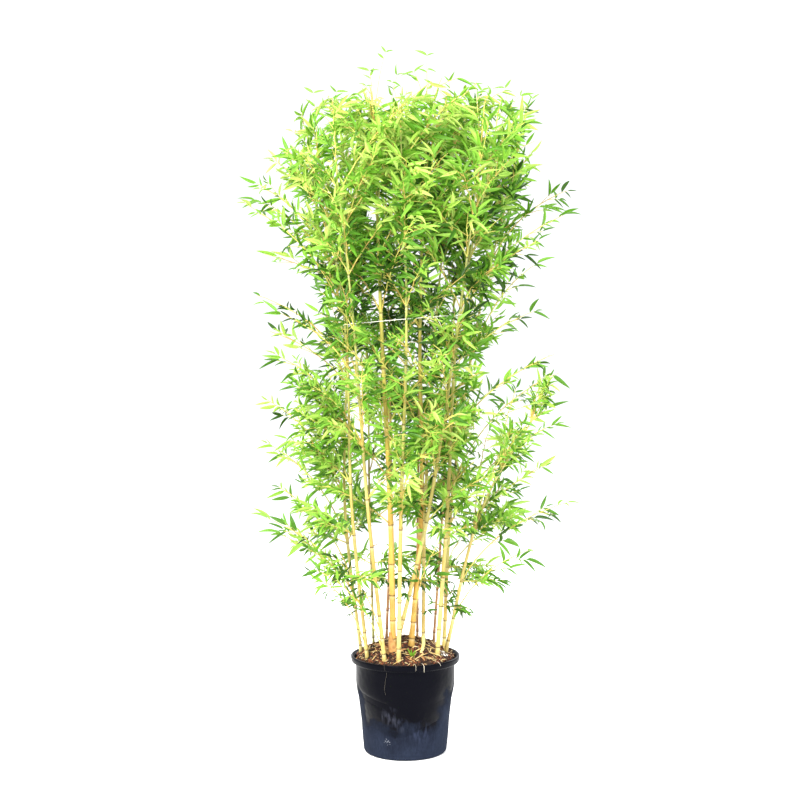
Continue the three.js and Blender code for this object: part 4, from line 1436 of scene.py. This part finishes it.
def sheath_mesh(cane, tall, facing):
    """A papery sheath that still clasps the foot of a cane and narrows to a point."""
    rows = 10
    columns = 10
    ground = soil_surface(*cane["foot"]) - 4
    places = []
    for i in range(rows + 1):
        share = i / rows
        centre = cane_centre(cane, ground + tall * share)
        reach = cane_radius(cane, ground) * 1.32 + 1 + 3 * (1 - share) ** 2
        spread = 1.9 * (1 - share) ** 0.7 + 0.02
        for j in range(columns + 1):
            angle = facing + spread * (2 * j / columns - 1)
            places.append((centre + compass(angle) * reach) * MM)
    faces = []
    for i in range(rows):
        for j in range(columns):
            low = i * (columns + 1) + j
            faces.append((low, low + 1, low + columns + 2, low + columns + 1))
    mesh = bpy.data.meshes.new("culm_sheath")
    mesh.from_pydata(places, [], faces)
    mesh.shade_smooth()
    return mesh


def make_culm_sheath():
    mesh = sheath_mesh(CANES[SHEATHED_CANE], SHEATH_HEIGHT, math.radians(SHEATH_FACING))
    sheath = new_piece("culm_sheath", mesh)
    sheath.data.materials.append(crumbled_matter("papery_sheath", "#946432", "#CFA05C", 90, 0.7))
    dress(sheath)


def make_cut_cane():
    path = [(Vector(place), radius, {}) for *place, radius in CUT_CANE]
    skin = waxy_culm_skin("cut_culm", "#C08A48", "#9C6234", "#B5842E", "#9A8A44")
    dress(tubes("cut_cane", [path], CULM_SIDES, skin))


def make_bent_shoot():
    path = [(Vector(place), radius, {}) for *place, radius in BENT_SHOOT]
    skin = waxy_culm_skin("bent_shoot_skin", "#E6D88A", "#D9BF68", "#CDB868", "#E6D88A")
    dress(tubes("bent_shoot", [path], CULM_SIDES, skin))


def make_roots():
    """One thin dull root hangs down the front of the pot, and a few pale ones lie over the rim."""
    steps = 23
    hanging = []
    for k in range(steps + 1):
        height = 292 - 92 * k / steps
        # It wanders a degree or so to each side as it hangs.
        angle = math.radians(247.5 + 1.3 * math.sin(0.26 * k) + 0.25 * math.sin(0.9 * k))
        reach = RIM_RADIUS + 0.8 if height > POT_HEIGHT - RIM_DEPTH else wall_radius(height) + 2.2
        hanging.append((compass(angle) * reach + Vector((0, 0, height)), 0.17, {}))
    over = []
    for angle, hang, thick in RIM_ROOTS:
        out = compass(math.radians(angle))
        rows = (
            (WALL_TOP_RADIUS - 22, SOIL_EDGE_HEIGHT + 9, 0.6),
            (RIM_INNER_RADIUS + 2, POT_HEIGHT + 3, 1),
            (RIM_RADIUS + 2, POT_HEIGHT - 2, 1),
            (RIM_RADIUS + 3, POT_HEIGHT - 4 - hang, 0.5),
        )
        over.append([(out * reach + Vector((0, 0, height)), thick * share, {})
                     for reach, height, share in rows])
    dull = crumbled_matter("dull_root", "#5E594E", "#857F70", 200, 0.8)
    dress(tubes("hanging_root", [hanging], ROOT_SIDES, dull))
    pale = crumbled_matter("dry_root", "#B9AE94", "#EDE6D2", 200, 0.8)
    dress(tubes("stray_roots", over, ROOT_SIDES, pale))


def make_scraps():
    """White scraps of sheath round the feet of the right-hand canes."""
    shapes = shape_collection("scraps", [rough_chip(30 + k, 1, 0.6, 0.16) for k in range(SHAPES_OF_A_KIND)])
    random = seeded(91)
    items = []
    for n in range(SCRAPS):
        x, y = (corner + size * random() for corner, size in zip(SCRAP_CORNER, SCRAP_PATCH))
        heading = compass(2 * math.pi * random())
        up = surface_up(x, y)
        turn = turn_to((heading - up * heading.dot(up)).normalized(), up)
        grown = 4 + 6 * random() ** 2
        place = Vector((x, y, soil_surface(x, y) + 1.5))
        size = (grown, grown, grown)
        items.append({"place": place, "turn": turn, "size": size, "form": n % SHAPES_OF_A_KIND})
    finish = crumbled_matter("white_sheath", "#E2DCCE", "#FBF9F2", 200, 0.8)
    dress(planted("sheath_scraps", items, shapes, finish))
    drop_collection(shapes)


# Twine

def tie_height_at(x):
    """The twine climbs from left to right, by its rise over 400 mm."""
    return TIE_HEIGHT + TIE_RISE * x / 400


def twine_loop():
    """The line that a tight loop takes round the outermost canes."""
    loop = []
    tied = [cane for cane in CANES if cane["tied"]]
    steps = 240
    for k in range(steps):
        direction = compass(2 * math.pi * k / steps)
        touches = []
        for cane in tied:
            height = tie_height_at(cane["tied"][0])
            reach = cane_radius(cane, height) + TWINE_RADIUS
            touches.append(cane_centre(cane, height) + direction * reach)
        best = max(touches, key=direction.dot)
        best.z = tie_height_at(best.x)
        if not loop or (best - loop[-1]).length > 0.4:
            loop.append(best)
    return loop + [loop[0]]


def evenly(points, spacing):
    """Places at an even spacing along a line of points."""
    places = []
    left = 0.0
    for low, high in zip(points, points[1:]):
        length = (high - low).length
        while left < length:
            places.append(low.lerp(high, left / length))
            left += spacing
        left -= length
    return places


def two_ply(line):
    """Two strands twisted round a line."""
    strands = []
    for strand in (0, 1):
        path = []
        for i, place in enumerate(line):
            ahead = (line[min(i + 1, len(line) - 1)] - line[max(i - 1, 0)]).normalized()
            out = ahead.cross(Vector((0.1, 0.2, 1))).normalized()
            turn = 2 * math.pi * (i / PLY_PITCH + strand / 2)
            offset = out * math.cos(turn) + ahead.cross(out) * math.sin(turn)
            path.append((place + offset * PLY_RADIUS, PLY_RADIUS * 1.05, {}))
        strands.append(path)
    return strands


def make_twine():
    """The loop, a knot of three turns on its front, and two loose ends."""
    loop = twine_loop()
    strands = two_ply(evenly(loop, 1.2))
    front = [place for place in evenly(loop, 1.0) if place.y < 0]
    knot = min(front, key=lambda place: abs(place.x - KNOT_ASIDE))
    turns = []
    for k in range(60):
        turn = 2 * math.pi * k / 20
        drift = Vector((4 * math.sin(turn / 3), -1.5 - 1.6 * math.cos(turn), 3.4 * math.sin(turn)))
        turns.append(knot + drift)
    strands += two_ply(turns)
    steps = 39
    for side, length in ((-1, 34), (1, 46)):
        tail = []
        for k in range(steps + 1):
            share = k / steps
            aside = side * (4 + length * 0.6 * share)
            hang = 3 * math.sin(5 * share) - length * 0.7 * share ** 1.6
            tail.append(knot + Vector((aside, -3 - 5 * math.sin(2.5 * share), hang)))
        strands += two_ply(tail)
    dress(tubes("twine_loop", strands, 5, cotton_twine()), ["twine"])


# Studio

def make_camera():
    data = bpy.data.cameras.new("front_camera")
    data.sensor_width = 36
    data.lens = LENS
    data.shift_y = CAMERA_SHIFT
    camera = bpy.data.objects.new("front_camera", data)
    camera.location = Vector(CAMERA_PLACE) * MM
    camera.rotation_euler = (math.radians(90), 0, 0)
    bpy.context.scene.collection.objects.link(camera)
    bpy.context.scene.camera = camera


def area_light(name, place, aim, size, power, colour):
    """A soft box, in metres, that looks at a place."""
    data = bpy.data.lights.new(name, "AREA")
    data.shape = "RECTANGLE"
    data.size, data.size_y = size
    data.energy = power
    data.color = linear(colour)[:3]
    lamp = bpy.data.objects.new(name, data)
    lamp.location = place
    lamp.rotation_euler = (Vector(aim) - Vector(place)).to_track_quat("-Z", "Y").to_euler()
    bpy.context.scene.collection.objects.link(lamp)


def make_studio():
    scene = bpy.context.scene
    scene.view_settings.view_transform = "Standard"
    scene.view_settings.look = "None"
    scene.view_settings.exposure = 0.55
    world = bpy.data.worlds.new("studio")
    scene.world = world
    world.use_nodes = True
    sky = world.node_tree.nodes["Background"]
    sky.inputs["Color"].default_value = linear("#FBFCFF")
    sky.inputs["Strength"].default_value = 0.82
    area_light("key", (-1.6, -3.0, 3.6), (0, 0, 1.3), (1.2, 1.2), 240, "#FFFBF4")
    area_light("fill", (2.6, -2.6, 1.6), (0, 0, 1.0), (1.4, 2.0), 40, "#F4F8FF")
    area_light("back", (0.6, 3.0, 2.8), (0, 0, 1.4), (3.2, 3.0), 110, "#FFFFFF")
    mesh = bpy.data.meshes.new("floor")
    half = 30
    corners = [(-half, -half, 0), (half, -half, 0), (half, half, 0), (-half, half, 0)]
    mesh.from_pydata(corners, [], [(0, 1, 2, 3)])
    mesh.materials.append(plain_floor())
    new_piece("floor", mesh)


make_camera()
make_studio()
make_pot()
make_mound()
make_chips()
make_straw()
make_canes()
make_culm_sheath()
make_cut_cane()
make_bent_shoot()
make_roots()
make_scraps()
make_foliage()
make_crown_sprays()
make_sprouts()
make_twine()
